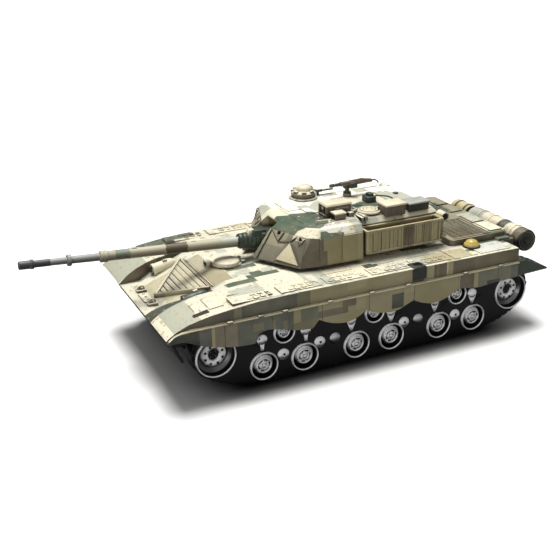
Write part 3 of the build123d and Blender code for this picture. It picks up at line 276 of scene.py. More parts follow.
def camo(name, top=(), side=(), seed=0, base=KHAKI, outlines=(), worn_and_lit_edges=0.5, specks=0.7):
    """Block camouflage: `top` patches face up, `side` patches lie on everything else; the paler
    tops are partly painted light and the darker sides partly painted shade.
    """
    mat = Material(name)
    shift_x, shift_y, shift_z = seed * 13.7, seed * 7.1, seed * 3.3

    def printed(cells, x, y, z, **settings):
        place = mat.vector("ADD", cells, (shift_x + x, shift_y + y, z))
        return mat.noise(place, **settings)

    # upward faces: random blocks, then the set patches
    big = mat.cells((7, 5.6, 6))
    small = mat.cells((3.4, 2.9, 3), offset=(0.11, 0.47, 0.29))
    tone = printed(big, 0, 0, shift_z, scale=0.03, rough=0.6)
    spots = printed(small, 91, 17, 5, scale=0.055, rough=0.7)
    greens = printed(big, -57, 43, 11, scale=0.04, detail=1)
    upper = mat.ramp(tone, [(0, GREYGREEN), (0.43, PALE), (0.50, CREAM), (0.60, PALE),
                            (0.68, SAND)])
    upper = mat.mix(mat.number("GREATER_THAN", spots, 0.615), upper, GREYGREEN)
    upper = mat.mix(mat.number("GREATER_THAN", greens, 0.66), upper, GREEN)
    upper = mat.mix(mat.number("LESS_THAN", spots, 0.345), upper, (170, 160, 128))
    for row in top:
        upper = mat.patch(upper, *row)
    for row in outlines:
        upper = mat.outline(upper, *row)

    # along the sides the print runs in upright bars
    bars = printed(mat.cells((5.2, 400, 14), offset=(0.2, 0.5, 0.36)), 31, 0, 77,
                   scale=0.031, detail=1.5, rough=0.6)
    lower = mat.ramp(bars, [(0, BROWN), (0.36, OLIVE), (0.45, base), (0.58, SAND),
                            (0.64, base)])
    for row in side:
        lower = mat.patch(lower, *row)

    flecks = mat.vector("MULTIPLY", mat.cells((1.3, 0.9, 1.2), offset=(0.3, 0.6, 0.2)),
                        (1, 1, 1))
    flecks = mat.noise(flecks, scale=0.42, rough=0.6)
    upper = mat.mix(mat.remap(flecks, (0.60, 0.66), to=(0, specks)), upper, (150, 138, 108))
    # tops take the pale print and sides the dark one: partly the camouflage, partly painted light
    # on top and painted shade on the sides
    facing_up = mat.remap(mat.axes(mat.surface("True Normal"))[2], (0.30, 0.42))
    colour = mat.mix(facing_up, lower, upper)

    # slight fading, fine variation, darker corners from dirt and painted shade, paler edges from
    # wear and a painted highlight
    fade = mat.noise(mat.place, scale=0.045, detail=3, rough=0.6)
    colour = mat.mix(mat.remap(fade, (0.35, 0.7), to=(0, 0.16)), colour, (205, 198, 176))
    fine = mat.noise(mat.place, scale=1.9, detail=4, rough=0.65)
    colour = mat.mottle(colour, fine, dark=0.90, light=1.03)
    colour = mat.corner_dirt_and_shade(colour, reach=0.0045, amount=0.8, dirt_and_shade_colour=(48, 42, 31), clean=0.93)
    normal = mat.rounded(0.00035)
    colour = mat.edge_wear_and_highlight(colour, normal, fine, (238, 232, 208), amount=(0, worn_and_lit_edges), span=(0.35, 0.6))
    grain = mat.noise(mat.place, scale=4.5, detail=3, rough=0.6)
    return mat.finish(colour, mat.remap(fine, (0.3, 0.7), to=(0.40, 0.56)),
                      mat.bump(grain, 0.00003, normal), spec=0.45)


def plain(name, first, second, rough=(0.35, 0.5), scale=0.12, edge=None, ao=0, spec=0.5,
          metal=None, bump=0.00002, coat=None):
    """Two close colours in soft blotches of `scale`; `ao` is the darkening in corners, dirt and
    painted shade,
    `edge` the colour of paler edges, worn paint and a painted highlight, and `bump` the grain depth
    in metres."""
    mat = Material(name)
    broad = mat.noise(mat.place, scale=scale, detail=4, rough=0.6)
    fine = mat.noise(mat.place, scale=scale * 14, detail=3, rough=0.6)
    colour = mat.mix(mat.remap(broad, (0.32, 0.68)), first, second)
    colour = mat.mottle(colour, fine, dark=0.92, light=1.04)
    if ao:
        # darker corners: dirt and painted shade
        colour = mat.corner_dirt_and_shade(colour, reach=0.002, amount=ao, dirt_and_shade_colour=(0.01, 0.01, 0.01, 1))
    normal = mat.rounded(0.0003)
    if edge:
        # paler edges: worn paint and a painted highlight
        colour = mat.edge_wear_and_highlight(colour, normal, fine, edge, amount=(0.1, 0.6))
    grain = mat.noise(mat.place, scale=4, detail=3, rough=0.6)
    return mat.finish(colour, mat.remap(broad, (0.3, 0.7), to=rough),
                      mat.bump(grain, bump, normal), spec, metal, coat)


def plated_with_painted_reflection(name, dark, middle, bright, rough=(0.22, 0.34), ao=0.7):
    """Plated plastic with a painted reflection: bright where it looks up, dark where it looks down.
    """
    mat = Material(name)
    z = mat.axes(mat.node("ShaderNodeNewGeometry").outputs["Normal"])[2]
    broad = mat.noise(mat.place, scale=0.25, detail=3, rough=0.6)
    fine = mat.noise(mat.place, scale=2, detail=3, rough=0.6)
    sway = mat.number("MULTIPLY", mat.number("SUBTRACT", broad, 0.5), 0.3)
    height = mat.remap(mat.number("ADD", z, sway), (-0.9, 0.9))
    colour = mat.ramp(height, [(0, dark), (0.40, dark), (0.5, middle), (0.66, bright),
                               (1, bright)], "LINEAR")
    colour = mat.mottle(colour, fine, dark=0.90, light=1.04)
    # darker corners: painted shade
    colour = mat.corner_dirt_and_shade(colour, reach=0.0015, amount=ao, dirt_and_shade_colour=(0.008, 0.008, 0.009, 1))
    normal = mat.rounded(0.00025)
    # paler edges: a painted highlight
    colour = mat.edge_wear_and_highlight(colour, normal, fine, bright, amount=(0.1, 0.5))
    return mat.finish(colour, mat.remap(broad, (0.3, 0.7), to=rough),
                      mat.bump(fine, 0.000008, normal), spec=0.6)


def barrel_paint(name, bands, length):
    """Colour bands along the gun, with painted shade underneath; rows are the start of a band and
    its colour.
    """
    mat = Material(name)
    rise = radians(GUN_RISE)
    along = (cos(rise), 0, sin(rise))
    run = mat.number("SUBTRACT", mat.dot(mat.place, along), GUN_X * along[0] + GUN_Z * along[2])
    wobble = mat.noise(mat.cells((2.6, 1.9, 1.9)), scale=0.35, detail=1)
    wobble = mat.number("MULTIPLY", mat.number("SUBTRACT", wobble, 0.5), 3)
    run = mat.number("ADD", run, wobble)
    colour = mat.ramp(mat.remap(run, (0, length)), [(start / length, c) for start, c in bands])
    # painted shade: faces that turn down are darkened
    z = mat.axes(mat.node("ShaderNodeNewGeometry").outputs["Normal"])[2]
    under = mat.mix(1, colour, (0.26, 0.24, 0.22, 1), "MULTIPLY")
    colour = mat.mix(mat.remap(z, (-0.25, 0.60)), under, colour)
    fine = mat.noise(mat.place, scale=1.7, detail=4, rough=0.6)
    colour = mat.mottle(colour, fine, dark=0.90, light=1.04)
    normal = mat.rounded(0.0003)
    # paler edges: worn paint and a painted highlight
    colour = mat.edge_wear_and_highlight(colour, normal, fine, (236, 230, 206), amount=(0, 0.5))
    return mat.finish(colour, mat.remap(fine, (0.3, 0.7), to=(0.38, 0.52)),
                      mat.bump(fine, 0.00002, normal), spec=0.45)


# ---- camouflage tables -----------------------------------------------------
# A full patch row is colour, x0, x1, y0, y1, z0, z1. Later rows cover earlier ones.
def heights(low, high, rows):
    """Rows that leave out their heights get these."""
    return [(*row[:5], *(row[5:] or (low, high))) for row in rows]


def walls(y0, y1, low, high, rows):
    """Rows of colour, x0, x1 and perhaps z0, z1, all across one span of Y."""
    return [(*row[:3], y0, y1, *(row[3:] or (low, high))) for row in rows]


def mirrored(rows):
    return [(c, x0, x1, -y1, -y0, z0, z1) for c, x0, x1, y0, y1, z0, z1 in rows]


HULL_TOP = heights(40, 70, [
    (PALE, 84, 141, -70, 70), (CREAM, 96, 119, 46, 66), (CREAM, 96, 119, -66, -46),
    ((170, 172, 154), 119, 145, 38, 70), ((170, 172, 154), 119, 145, -70, -30),
    (CREAM, 136, 145, 26, 70), (PALE, 127, 140, -22, 22),
    ((196, 188, 158), 106, 122, -10, 26), (GREYGREEN, 88, 104, 2, 30),
    (SAND, 100, 110, -6, 12), (GREYGREEN, 72, 93, 44, 56), (CREAM, 44, 72, 30, 66),
    (CREAM, 74, 92, 56, 66), (GREYGREEN, 28, 44, 42, 66), (PALE, 36, 41, 46, 60),
    (CREAM, -8, 28, 36, 66), (GREEN, 70, 90, 33.4, 39.6), (GREEN, 52, 74, 28, 33.4),
    (GREEN, 62, 70, 24, 30), ((172, 166, 142), 86, 104, -24, 4), (PALE, -34, -8, 40, 66),
    (GREYGREEN, -52, -38, 46, 66), (PALE, -76, -52, 40, 66), (DARKGREEN, -7, 0, 47.5, 54.5),
    (GREEN, -10, -3, 50, 54), (GREEN, -84, -75, 56, 60), ((206, 206, 200), -106, -82, 50, 66),
    (GREEN, -112, -90, 40, 50), (GREEN, -125, -108, 40, 56), (BLACKGREEN, -36, -27, 60.5, 72),
    (BLACKGREEN, -36, -27, -72, -60.5), (GREEN, 76, 117, -70, -58),
    (DARKGREEN, 92, 108, -58, -44), ((186, 178, 148), 106, 134, -22, 2),
    ((160, 150, 120), 82, 99, 4, 28), ((176, 166, 132), -76, -42, 52, 66),
])
HULL_SIDE = walls(60, 80, 40, 62, [
    (BROWN, 92, 145), (BLACKGREEN, 128, 145, 40, 50), ((92, 84, 70), 112, 130, 50, 60),
    ((80, 76, 66), 92, 112), (OLIVE, 93.5, 98.5), ((84, 84, 72), 57, 92), (OLIVE, 48, 57),
    (KHAKI, -25, 48), (SHADED_SAND, 8, 22, 54, 62), (BLACKGREEN, -35, -26, 50, 62),
    (SHADED_SAND, -43, -35), (BROWN, -53, -43), (OLIVE, -47, -45), (SHADED_SAND, -58, -54),
    ((92, 82, 66), -76, -58), ((104, 100, 76), -100, -76), ((100, 94, 72), -112.5, -100),
]) + [
    # walls of the sunken glacis, dark partly from camouflage and partly as painted shade
    (DARKGREEN, 100, 142, 22, 42, 40, 62), (DARKGREEN, 84, 112, -42, -22, 40, 62),
    ((112, 100, 82), 112, 142, -42, -22, 40, 62),
    # tail
    (DARKGREEN, -122, -108, 30, 53, 40, 62), (GREEN, -122, -111, -40, -10, 40, 52),
    (DARKGREEN, -122, -111, 0, 18, 46, 58),
]
# outline rows: colour, corners in X and Y, low and high Z; here a strip left of the glacis
HULL_OUTLINES = [(DARKGREEN, [(143, 26), (98, 28), (97, 36), (144, 40)], 40, 62)]

SKIRT_SIDE = walls(60, 80, 30, 52, [
    (BLACKGREEN, 121, 145), ((84, 84, 78), 112.6, 121), (SHADED_SAND, 111.4, 113.4),
    ((124, 114, 96), 97, 111.4), ((86, 90, 80), 60, 97), (OLIVE, 80, 87, 40, 45),
    (OLIVE, 72, 75, 36, 45), (OLIVE, 64, 67, 36, 43), (KHAKI, 55, 59.5, 40, 50),
    (OLIVE, 43, 60, 30, 40), ((104, 106, 88), 43, 55, 40, 48.8), (KHAKI, 9, 43),
    (BROWN, 22, 43, 39.6, 44.2), (BROWN, 16, 26, 43.6, 50), (SHADED_SAND, 9.4, 16, 40, 48.8),
    (KHAKI, -62, 9), (SHADED_SAND, -27, -20, 44, 48.8), (DARKGREEN, -19.4, -10.4, 35, 45.2),
    (SHADED_SAND, -63.5, -60.5), (BROWN, -75, -63.5), (SHADED_SAND, -78.4, -75),
    ((110, 110, 94), -106, -78.4), (DARKGREEN, -97, -86, 30, 40.4), ((84, 90, 80), -114, -106),
])
SKIRT_LIP = [((206, 196, 160), -114, 145, 69.6, 73, 48.7, 50.2)]
SKIRT_LIP += mirrored(SKIRT_LIP)

TURRET_TOP = heights(80, 90, [
    (PALE, -80, 62, -50, 50, 60, 90), (CREAM, -10, 40, -28, 8, 84, 90),
    (CREAM, 26, 34, 30, 40), (CREAM, 40, 46, 16, 26), (GREYGREEN, -14, 2, 22, 44),
    (CREAM, 2, 24, 34, 44), (GREEN, -24, -8, 4, 14, 84, 90),
    (DARKGREEN, -30, -16, 6, 12, 84, 90), (CREAM, -64, -24, 8, 34),
    (GREYGREEN, -66, -44, -10, 22, 84, 90), (GREYGREEN, 4, 28, -16, -6, 84, 90),
    (GREEN, -50, -30, -26, -12, 84, 90), (SAND, -30, -16, -34, -26), (GREEN, 14, 30, -40, -28),
    (GREYGREEN, 30, 44, -34, -16), ((118, 114, 98), 34, 62, 8, 50, 60, 80.8),
    ((118, 114, 98), 34, 62, -50, -8, 60, 80.8), (WHITE, -70, 34, -45, -12),
    (WHITE, -6, 30, -12, 4, 84, 90), (WHITE, 0, 30, -45, 2), (GREYGREEN, -20, -8, -30, -20),
    (GREYGREEN, 12, 20, -8, -2), (GREYGREEN, -44, -34, -26, -18),
])
TURRET_SIDE = heights(60, 90, [
    (OLIVE, 26, 62, 8, 50), ((120, 117, 98), 30, 62, 8, 41),
    ((82, 74, 60), 24.5, 41, 39.5, 50, 60, 82), ((132, 124, 90), -6, 25, 36, 50, 60, 86),
    ((82, 74, 60), 22.5, 25, 36, 50, 60, 72), (GREEN, 19, 28, 36, 50, 81.4, 86),
    (KHAKI, -6, 0, 30, 50), ((128, 126, 108), 26, 62, -50, -8),
    (BROWN, 24, 44, -50, -36, 60, 74), (KHAKI, -6, 24, -50, -30),
    (GREEN, 6, 16, -50, -38, 66, 80), (DARKGREEN, -80, -60, -20, 12, 64, 76),
    (KHAKI, -80, -60, 12, 36),
])
TURRET_OUTLINES = [
    (ROOFGREEN, [(48, 6), (38, 0.5), (24, 24), (38, 28), (46, 25)], 80.7, 92),
    (ROOFGREEN, [(28, 39.5), (10, 40.2), (10, 45), (29, 45)], 80, 84.4),
    (WHITE, [(22, 30), (6, 33), (6, 42), (20, 41), (30, 36)], 82.5, 92),
    (GREYGREEN, [(-1, 36), (-12, 22), (-22, 32), (-10, 44), (-1, 44)], 80, 92),
    (GREYGREEN, [(14, -2), (2, -14), (-8, -6), (2, 8), (12, 8)], 84, 92),
    (ROOFGREEN, [(38, 0.9), (15.2, 7), (11.4, 18.6), (14.9, 30.8), (24.6, 36.9), (32.3, 30.7),
                 (40, 24.4)], 80, 92),
    (ROOFGREEN, [(-19, 4), (-25, 1), (-40, 8), (-42, 19), (-36, 21), (-26, 14)], 80, 92),
    (CREAM, [(24, 36.4), (33, 31), (40, 26), (46, 26), (36, 42), (28, 44)], 79, 92),
    (DARKGREEN, [(12, 22), (16, 25), (20, 24), (22, 18), (18, 15), (13, 17)], 85, 92),
]
BASKET_TOP = [(SAND, -80, 0, -50, 50, 78.8, 82), ((140, 118, 86), -66, -6, -43, 43, 60, 78.6)]
BASKET_SIDE = heights(64, 82, [
    (KHAKI, -80, 0, 30, 50, 60, 90), ((96, 82, 68), -42.5, -34.5, 42, 50),
    ((140, 130, 96), -20, -12, 42, 50), ((122, 112, 84), -56, -50, 42, 50),
    ((132, 112, 82), -66, -6, 34, 42.8, 62, 79.2),
])
BOARD_TOP = heights(40, 70, [((196, 188, 162), 96, 128, -30, 30),
                             ((184, 179, 158), 108, 116, -30, 30)])
DECK_TOP = heights(50, 70, [
    ((143, 137, 114), -122, -72, -50, 50), ((164, 158, 134), -100, -84, 10, 40),
    ((142, 133, 107), -96, -76, 26, 48), (GREEN, -110, -92, -30, -8),
    (DARKGREEN, -106, -98, -20, -6), (GREEN, -124, -100, 43.6, 52),
    (GREYGREEN, -120, -108, 0, 24), (CREAM, -120, -106, 24, 43),
])
DRUM_TOP = heights(40, 80, [
    (GREYGREEN, -145, -120, -12, 6), (CREAM, -145, -120, 6, 24), (DARKGREEN, -145, -120, 25, 33),
    (CREAM, -145, -120, 33, 44), (BROWN, -145, -120, 44, 54), (SAND, -145, -120, -34, -12),
])
DRUM_SIDE = [(BROWN, -145, -110, -35, 56, 40, 80), (BLACKGREEN, -145, -110, 18, 34, 40, 56)]
WHOLE_TURRET = (-80, 80, -60, 60, 50, 99)
CHEEK_TOP = [
    ((122, 118, 102), *WHOLE_TURRET), ((148, 142, 118), 30, 62, 8, 24, 72, 82),
    ((112, 112, 98), 30, 62, 24, 50, 60, 70), ((142, 136, 112), 30, 62, -24, -8, 72, 82),
    (CREAM, 33, 42, 28, 44, 78, 90), (CREAM, 33, 42, -44, -28, 78, 90),
]
SIGHT_SIDE = [((96, 84, 68), -20, 20, 0, 40, 80, 99), (DARKGREEN, 2, 20, 0, 40, 80, 90)]
CUPOLA_SIDE = [(BROWN, -30, 20, -40, 0, 80, 99), (DARKGREEN, -30, 2, -40, 0, 80, 99)]

# ---- finishes --------------------------------------------------------------
HULL_CAMO = camo("camo_hull", HULL_TOP, HULL_SIDE, seed=1, outlines=HULL_OUTLINES, specks=0.8)
SKIRT_CAMO = camo("camo_skirt", SKIRT_LIP, SKIRT_SIDE + mirrored(SKIRT_SIDE) + SKIRT_LIP,
                  seed=2, worn_and_lit_edges=0.35)
TURRET_CAMO = camo("camo_turret", TURRET_TOP, TURRET_SIDE, seed=3, outlines=TURRET_OUTLINES)
BASKET_CAMO = camo("camo_basket", BASKET_TOP, BASKET_SIDE + mirrored(BASKET_SIDE), seed=4)
DETAIL_CAMO = camo("camo_detail", seed=5, base=OLIVE)
BOARD_CAMO = camo("camo_board", BOARD_TOP, [(KHAKI, 90, 130, -30, 30, 40, 70)], seed=6,
                  worn_and_lit_edges=0.7)
DECK_CAMO = camo("camo_deck", DECK_TOP, [((84, 78, 60), -125, -70, -50, 50, 50, 70)], seed=12,
                 worn_and_lit_edges=0.4)
DRUM_CAMO = camo("camo_drum", DRUM_TOP, DRUM_SIDE, seed=7)
CHEEK_CAMO = camo("camo_cheek", CHEEK_TOP, [((96, 92, 78), *WHOLE_TURRET)], seed=8, worn_and_lit_edges=0.55)
# the wedge: its pale top partly paint and partly painted light for its upward tilt, its sides
# darker, partly painted shade
LIT_WEDGE_CAMO = camo("camo_and_light_wedge", [((206, 196, 164), *WHOLE_TURRET)],
                  [((120, 114, 94), *WHOLE_TURRET)], seed=9)
SIGHT_CAMO = camo("camo_sight", [(CREAM, -20, 20, 0, 40, 80, 99)], SIGHT_SIDE, seed=10)
CUPOLA_CAMO = camo("camo_cupola", [(CREAM, -30, 20, -40, 0, 80, 99)], CUPOLA_SIDE, seed=11)

GREEN_PAINT = plain("green_paint", (74, 90, 74), (88, 102, 86), rough=(0.42, 0.58), scale=0.1,
                    edge=(150, 160, 140), ao=0.5)
DARK_PAINT = plain("dark_green_paint", (52, 62, 52), (64, 74, 64), rough=(0.40, 0.56),
                   scale=0.1, edge=(120, 130, 112), ao=0.5)
CREAM_PAINT = plain("cream_paint", (224, 215, 186), (206, 198, 172), rough=(0.42, 0.56),
                    scale=0.1, edge=(245, 240, 220), ao=0.4)
BROWN_PAINT = plain("brown_paint", (92, 82, 72), (108, 98, 84), rough=(0.42, 0.58),
                    edge=(160, 150, 130), ao=0.5)
BLACK_PLASTIC = plain("black_plastic", (4, 4, 5), (8, 8, 9), rough=(0.36, 0.48), scale=0.08,
                      edge=(64, 64, 68), spec=0.3)
SILVER = plain("silver_plate", (205, 206, 210), (226, 227, 230), rough=(0.20, 0.30),
               scale=0.25, edge=(245, 245, 247), ao=0.75, metal=1, bump=0.00001)
LENS = plain("dark_lens", (14, 15, 18), (22, 24, 28), rough=(0.06, 0.12), scale=0.1, spec=0.8,
             coat=1)
YELLOW = plain("yellow_plastic", (200, 182, 102), (172, 150, 76), rough=(0.22, 0.32),
               scale=0.15, edge=(250, 225, 140), ao=0.5)
STEEL = plain("steel", (150, 150, 152), (182, 182, 184), rough=(0.28, 0.42), scale=0.6,
              edge=(225, 225, 226), metal=1)
RUBBER = plain("tyre_rubber", (26, 26, 27), (38, 37, 36), rough=(0.70, 0.88), scale=0.3,
               edge=(74, 72, 70), spec=0.3, bump=0.00006)
NYLON = plain("white_nylon", (226, 224, 214), (206, 204, 192), rough=(0.34, 0.46), scale=0.3,
              edge=(246, 245, 240))
WRAP = plain("battery_wrap", (42, 96, 66), (30, 78, 54), rough=(0.24, 0.36), scale=0.2,
             edge=(120, 170, 140), coat=0.4)
CIRCUIT = plain("board_green", (30, 92, 58), (22, 74, 48), rough=(0.3, 0.45), scale=0.5,
                edge=(180, 170, 90), coat=0.3)
MOTOR = plain("motor_can", (168, 168, 172), (136, 136, 140), rough=(0.24, 0.36), scale=0.4,
              edge=(225, 225, 228), metal=1)
CLEAR = plain("led_clear", (214, 220, 226), (232, 236, 240), rough=(0.10, 0.18), scale=0.4,
              spec=0.7, coat=0.8)
# black that stands in for the shade inside holes, slots, grooves and gaps
SHADE_FILL = plain("shadow_black", (7, 7, 8), (12, 12, 13), rough=(0.45, 0.6), scale=0.3, spec=0.3)
BLACKGREEN_PAINT = plain("black_green_paint", (36, 40, 36), (48, 52, 46), rough=(0.42, 0.56),
                         scale=0.2, edge=(110, 116, 100), ao=0.5)
# dark brown that stands in for the shade in slots and recesses
RECESS = plain("dark_recess_shade", (34, 32, 28), (50, 46, 38), rough=(0.5, 0.65), scale=0.3,
               edge=(120, 112, 92), ao=0.4, spec=0.3)
PALE_PAINT = plain("pale_paint", (214, 206, 178), (186, 180, 158), rough=(0.40, 0.54),
                   scale=0.22, edge=(244, 240, 222), ao=0.7)
GREY_PAINT = plain("grey_paint", (176, 178, 170), (150, 152, 144), rough=(0.42, 0.56),
                   scale=0.18, edge=(226, 226, 218), ao=0.5)
DRUM_END = plain("drum_end", (30, 34, 30), (46, 50, 44), rough=(0.40, 0.55), scale=0.3,
                 edge=(140, 124, 98), ao=0.6)
RED_LENS = plain("tail_lens", (120, 26, 22), (146, 38, 30), rough=(0.12, 0.2), scale=0.4,
                 spec=0.6, coat=0.8)
SLEEVE = plain("sleeve_green", (40, 50, 40), (54, 66, 52), rough=(0.42, 0.56), scale=0.2,
               edge=(120, 130, 108), ao=0.8)
KIT = plain("rolled_kit", (124, 104, 76), (92, 78, 60), rough=(0.62, 0.80), scale=0.22,
            edge=(168, 150, 116), ao=0.7, spec=0.3, bump=0.00008)
GUN_BROWN = plain("gun_brown", (96, 80, 64), (120, 104, 84), rough=(0.36, 0.52), scale=0.3,
                  edge=(186, 170, 140), ao=0.5)

# plated finishes with a painted reflection: colours facing down, sideways and up
RIM = plated_with_painted_reflection("plated_rim", (156, 156, 160), (236, 237, 239), (252, 252, 253), ao=0.3)
HUB = plated_with_painted_reflection("plated_hub", (40, 40, 42), (232, 233, 235), (252, 252, 253), ao=0.55)
CONE = plated_with_painted_reflection("plated_cone", (20, 20, 21), (150, 150, 153), (250, 250, 251), ao=0.6)
CAP = plated_with_painted_reflection("plated_cap", (90, 90, 94), (242, 243, 244), (252, 252, 253), ao=0.35)
GREY_CAP = plated_with_painted_reflection("grey_cap", (30, 30, 32), (112, 112, 114), (210, 210, 212), ao=0.5)
DISH = plated_with_painted_reflection("dish_black.001", (14, 14, 15), (44, 44, 45), (120, 120, 122),
              rough=(0.28, 0.40), ao=0.6)
BARREL = barrel_paint("gun_bands", [
    (0, (44, 56, 44)), (27.4, GREYGREEN), (39.5, (184, 178, 156)), (62, BROWN),
    (77, (184, 178, 156)), (99.7, (128, 138, 120)), (109, (182, 176, 155)),
    (118.9, (150, 152, 148)), (149, (72, 74, 74))], length=170)

# finishes of the CAD pieces; * stands for left and right
CAD_FINISHES = (
    (HULL_CAMO, "hull_upper_shell headlight_pods"),
    (BLACK_PLASTIC, "chassis_tub *_running_gear_panel battery_door speaker power_switch_body "
                    "power_switch_knob turret_base_ring *_gearbox_case *_rear_wheel_hub "
                    "*_front_wheel_hub"),
    (STEEL, "hull_screws front_axle *_drive_axle"),
    (SKIRT_CAMO, "*_side_skirt"),
    (SILVER, "*_road_wheel_faces *_end_wheel_faces *_suspension_caps"),
    (DECK_CAMO, "engine_deck"), (DRUM_CAMO, "rear_drum"), (DARK_PAINT, "rear_mudflaps machine_gun"),
    (LENS, "headlight_lenses"), (CLEAR, "headlight_leds"), (YELLOW, "fuel_cap"),
    (WRAP, "battery_pack"), (CIRCUIT, "circuit_board"), (MOTOR, "turret_motor *_drive_motor"),
    (NYLON, "turret_pinion *_axle_gear *_compound_gear *_motor_pinion"),
    (TURRET_CAMO, "turret_upper_shell"), (BASKET_CAMO, "*_stowage_basket"),
    (DETAIL_CAMO, "sight_housing roof_boxes commander_cupola gun_barrel"),
    (CREAM_PAINT, "loader_hatch"), (GREEN_PAINT, "gun_mantlet"),
    (RUBBER, "*_rear_tyre *_front_tyre"),
)


def paint_cad():
    finishes = {piece.replace("*", side): material for material, pieces in CAD_FINISHES
                for piece in pieces.split() for side in ("left", "right")}
    for name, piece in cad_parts.items():
        piece.data.materials.clear()
        piece.data.materials.append(finishes[name])


# ---- meshes, in millimetres ------------------------------------------------
def pour(source, target):
    """Add a copy of one bmesh to another."""
    mesh = bpy.data.meshes.new("tmp")
    source.to_mesh(mesh)
    target.from_mesh(mesh)
    bpy.data.meshes.remove(mesh)


def standing(place, axis):
    """Matrix that stands Z along an axis at a place."""
    matrix = Vector(axis).to_track_quat("Z", "Y").to_matrix().to_4x4()
    matrix.translation = Vector(place)
    return matrix


def spokes(count, start=0):
    """Angles evenly spaced round a circle."""
    return [radians(start + 360 / count * i) for i in range(count)]


class Part:
    """A mesh under construction; `use` picks the material of the shapes that follow."""

    def __init__(self, *materials):
        self.mesh = bmesh.new()
        self.materials = materials
        self.slot = 0

    def use(self, material):
        self.slot = self.materials.index(material)

    def add(self, shape, matrix=None, bevel=0, segments=2, limit=30):
        """Clean, bevel and place a shape; edges sharper than `limit` degrees are bevelled."""
        bmesh.ops.remove_doubles(shape, verts=shape.verts, dist=1e-5)
        bmesh.ops.recalc_face_normals(shape, faces=shape.faces)
        if bevel > 0:
            edges = [edge for edge in shape.edges if len(edge.link_faces) == 2
                     and degrees(edge.calc_face_angle(0.0)) > limit]
            bmesh.ops.bevel(shape, geom=edges, offset=bevel, offset_type="OFFSET",
                            segments=segments, profile=0.5, affect="EDGES", clamp_overlap=True)
        if matrix is not None:
            bmesh.ops.transform(shape, matrix=matrix, verts=shape.verts)
            if matrix.determinant() < 0:
                bmesh.ops.reverse_faces(shape, faces=shape.faces)
        for face in shape.faces:
            face.material_index = self.slot
        pour(shape, self.mesh)
        shape.free()

    def box(self, x0, x1, y0, y1, z0, z1, bevel=0.2, matrix=None, segments=2):
        shape = bmesh.new()
        corners = [shape.verts.new((x, y, z)) for z in (z0, z1) for y in (y0, y1)
                   for x in (x0, x1)]
        for face in ((0, 1, 3, 2), (4, 5, 7, 6), (0, 1, 5, 4), (2, 3, 7, 6), (0, 2, 6, 4),
                     (1, 3, 7, 5)):
            shape.faces.new([corners[i] for i in face])
        self.add(shape, matrix, bevel, segments)

    def boxes(self, *rows):
        for row in rows:
            self.box(*row)

    def loft(self, lower, upper, bevel=0.2, matrix=None, segments=2, limit=30, split=False):
        """Solid between two outlines; `split` triangulates faces of over four corners."""
        shape = bmesh.new()
        low = [shape.verts.new(point) for point in lower]
        high = [shape.verts.new(point) for point in upper]
        shape.faces.new(low)
        shape.faces.new(high)
        for i in range(len(low)):
            j = (i + 1) % len(low)
            shape.faces.new((low[i], low[j], high[j], high[i]))
        if split:
            bmesh.ops.triangulate(shape, faces=[f for f in shape.faces if len(f.verts) > 4])
        self.add(shape, matrix, bevel, segments, limit)

    def block(self, low0, low1, high0, high1, bevel=0.2, matrix=None, segments=2):
        """Tapered block; each end of the bottom and the top is x, y0, y1, z."""
        outlines = []
        for (xa, ya0, ya1, za), (xb, yb0, yb1, zb) in ((low0, low1), (high0, high1)):
            outlines.append([(xa, ya0, za), (xb, yb0, zb), (xb, yb1, zb), (xa, ya1, za)])
        self.loft(*outlines, bevel, matrix, segments)

    def prism(self, points, y0, y1, bevel):
        """An X and Z outline carried along Y."""
        self.loft([(x, y0, z) for x, z in points], [(x, y1, z) for x, z in points], bevel)

    def lathe(self, profile, axis, centre, segments=32, matrix=None, closed=False):
        """Turn (radius, distance along the axis) points; centre is the other two coordinates."""
        shape = bmesh.new()
        across, other = centre
        rings = []
        for radius, height in profile:
            ring = []
            for i in range(1 if radius < 1e-6 else segments):
                angle = 2 * pi * i / segments
                u, v = across + radius * cos(angle), other + radius * sin(angle)
                point = {"x": (height, u, v), "y": (u, height, v), "z": (u, v, height)}[axis]
                ring.append(shape.verts.new(point))
            rings.append(ring)
        for low, high in zip(rings, rings[1:] + (rings[:1] if closed else [])):
            if len(low) == 1 and len(high) == 1:
                continue
            for i in range(segments):
                j = (i + 1) % segments
                if len(low) == 1:
                    shape.faces.new((low[0], high[i], high[j]))
                elif len(high) == 1:
                    shape.faces.new((low[i], low[j], high[0]))
                else:
                    shape.faces.new((low[i], low[j], high[j], high[i]))
        if not closed:
            for ring in (rings[0], rings[-1]):
                if len(ring) > 1:
                    shape.faces.new(ring)
        self.add(shape, matrix)

    def ring(self, profile, axis, centre, segments=32, matrix=None):
        """A closed profile turned into a ring."""
        self.lathe(profile, axis, centre, segments, matrix, closed=True)

    def rod(self, start, end, radius, segments=20, bevel=0.15):
        """Cylinder between two points, rims rounded."""
        axis = Vector(end) - Vector(start)
        length = axis.length
        rim = min(bevel, length / 3, radius / 2)
        profile = [(0, 0), (radius - rim, 0), (radius - 0.3 * rim, 0.3 * rim), (radius, rim),
                   (radius, length - rim), (radius - 0.3 * rim, length - 0.3 * rim),
                   (radius - rim, length), (0, length)]
        self.lathe(profile, "z", (0, 0), segments, standing(start, axis))

    def dome(self, x, y, z, radius, height, axis=(0, 0, 1), segments=12):
        """Low rounded rivet head."""
        profile = [(0, -0.2), (radius, -0.2), (radius, 0)]
        for i in range(1, 4):
            angle = pi / 2 * i / 4
            profile.append((radius * cos(angle), height * sin(angle)))
        profile.append((0, height))
        self.lathe(profile, "z", (0, 0), segments, standing((x, y, z), axis))

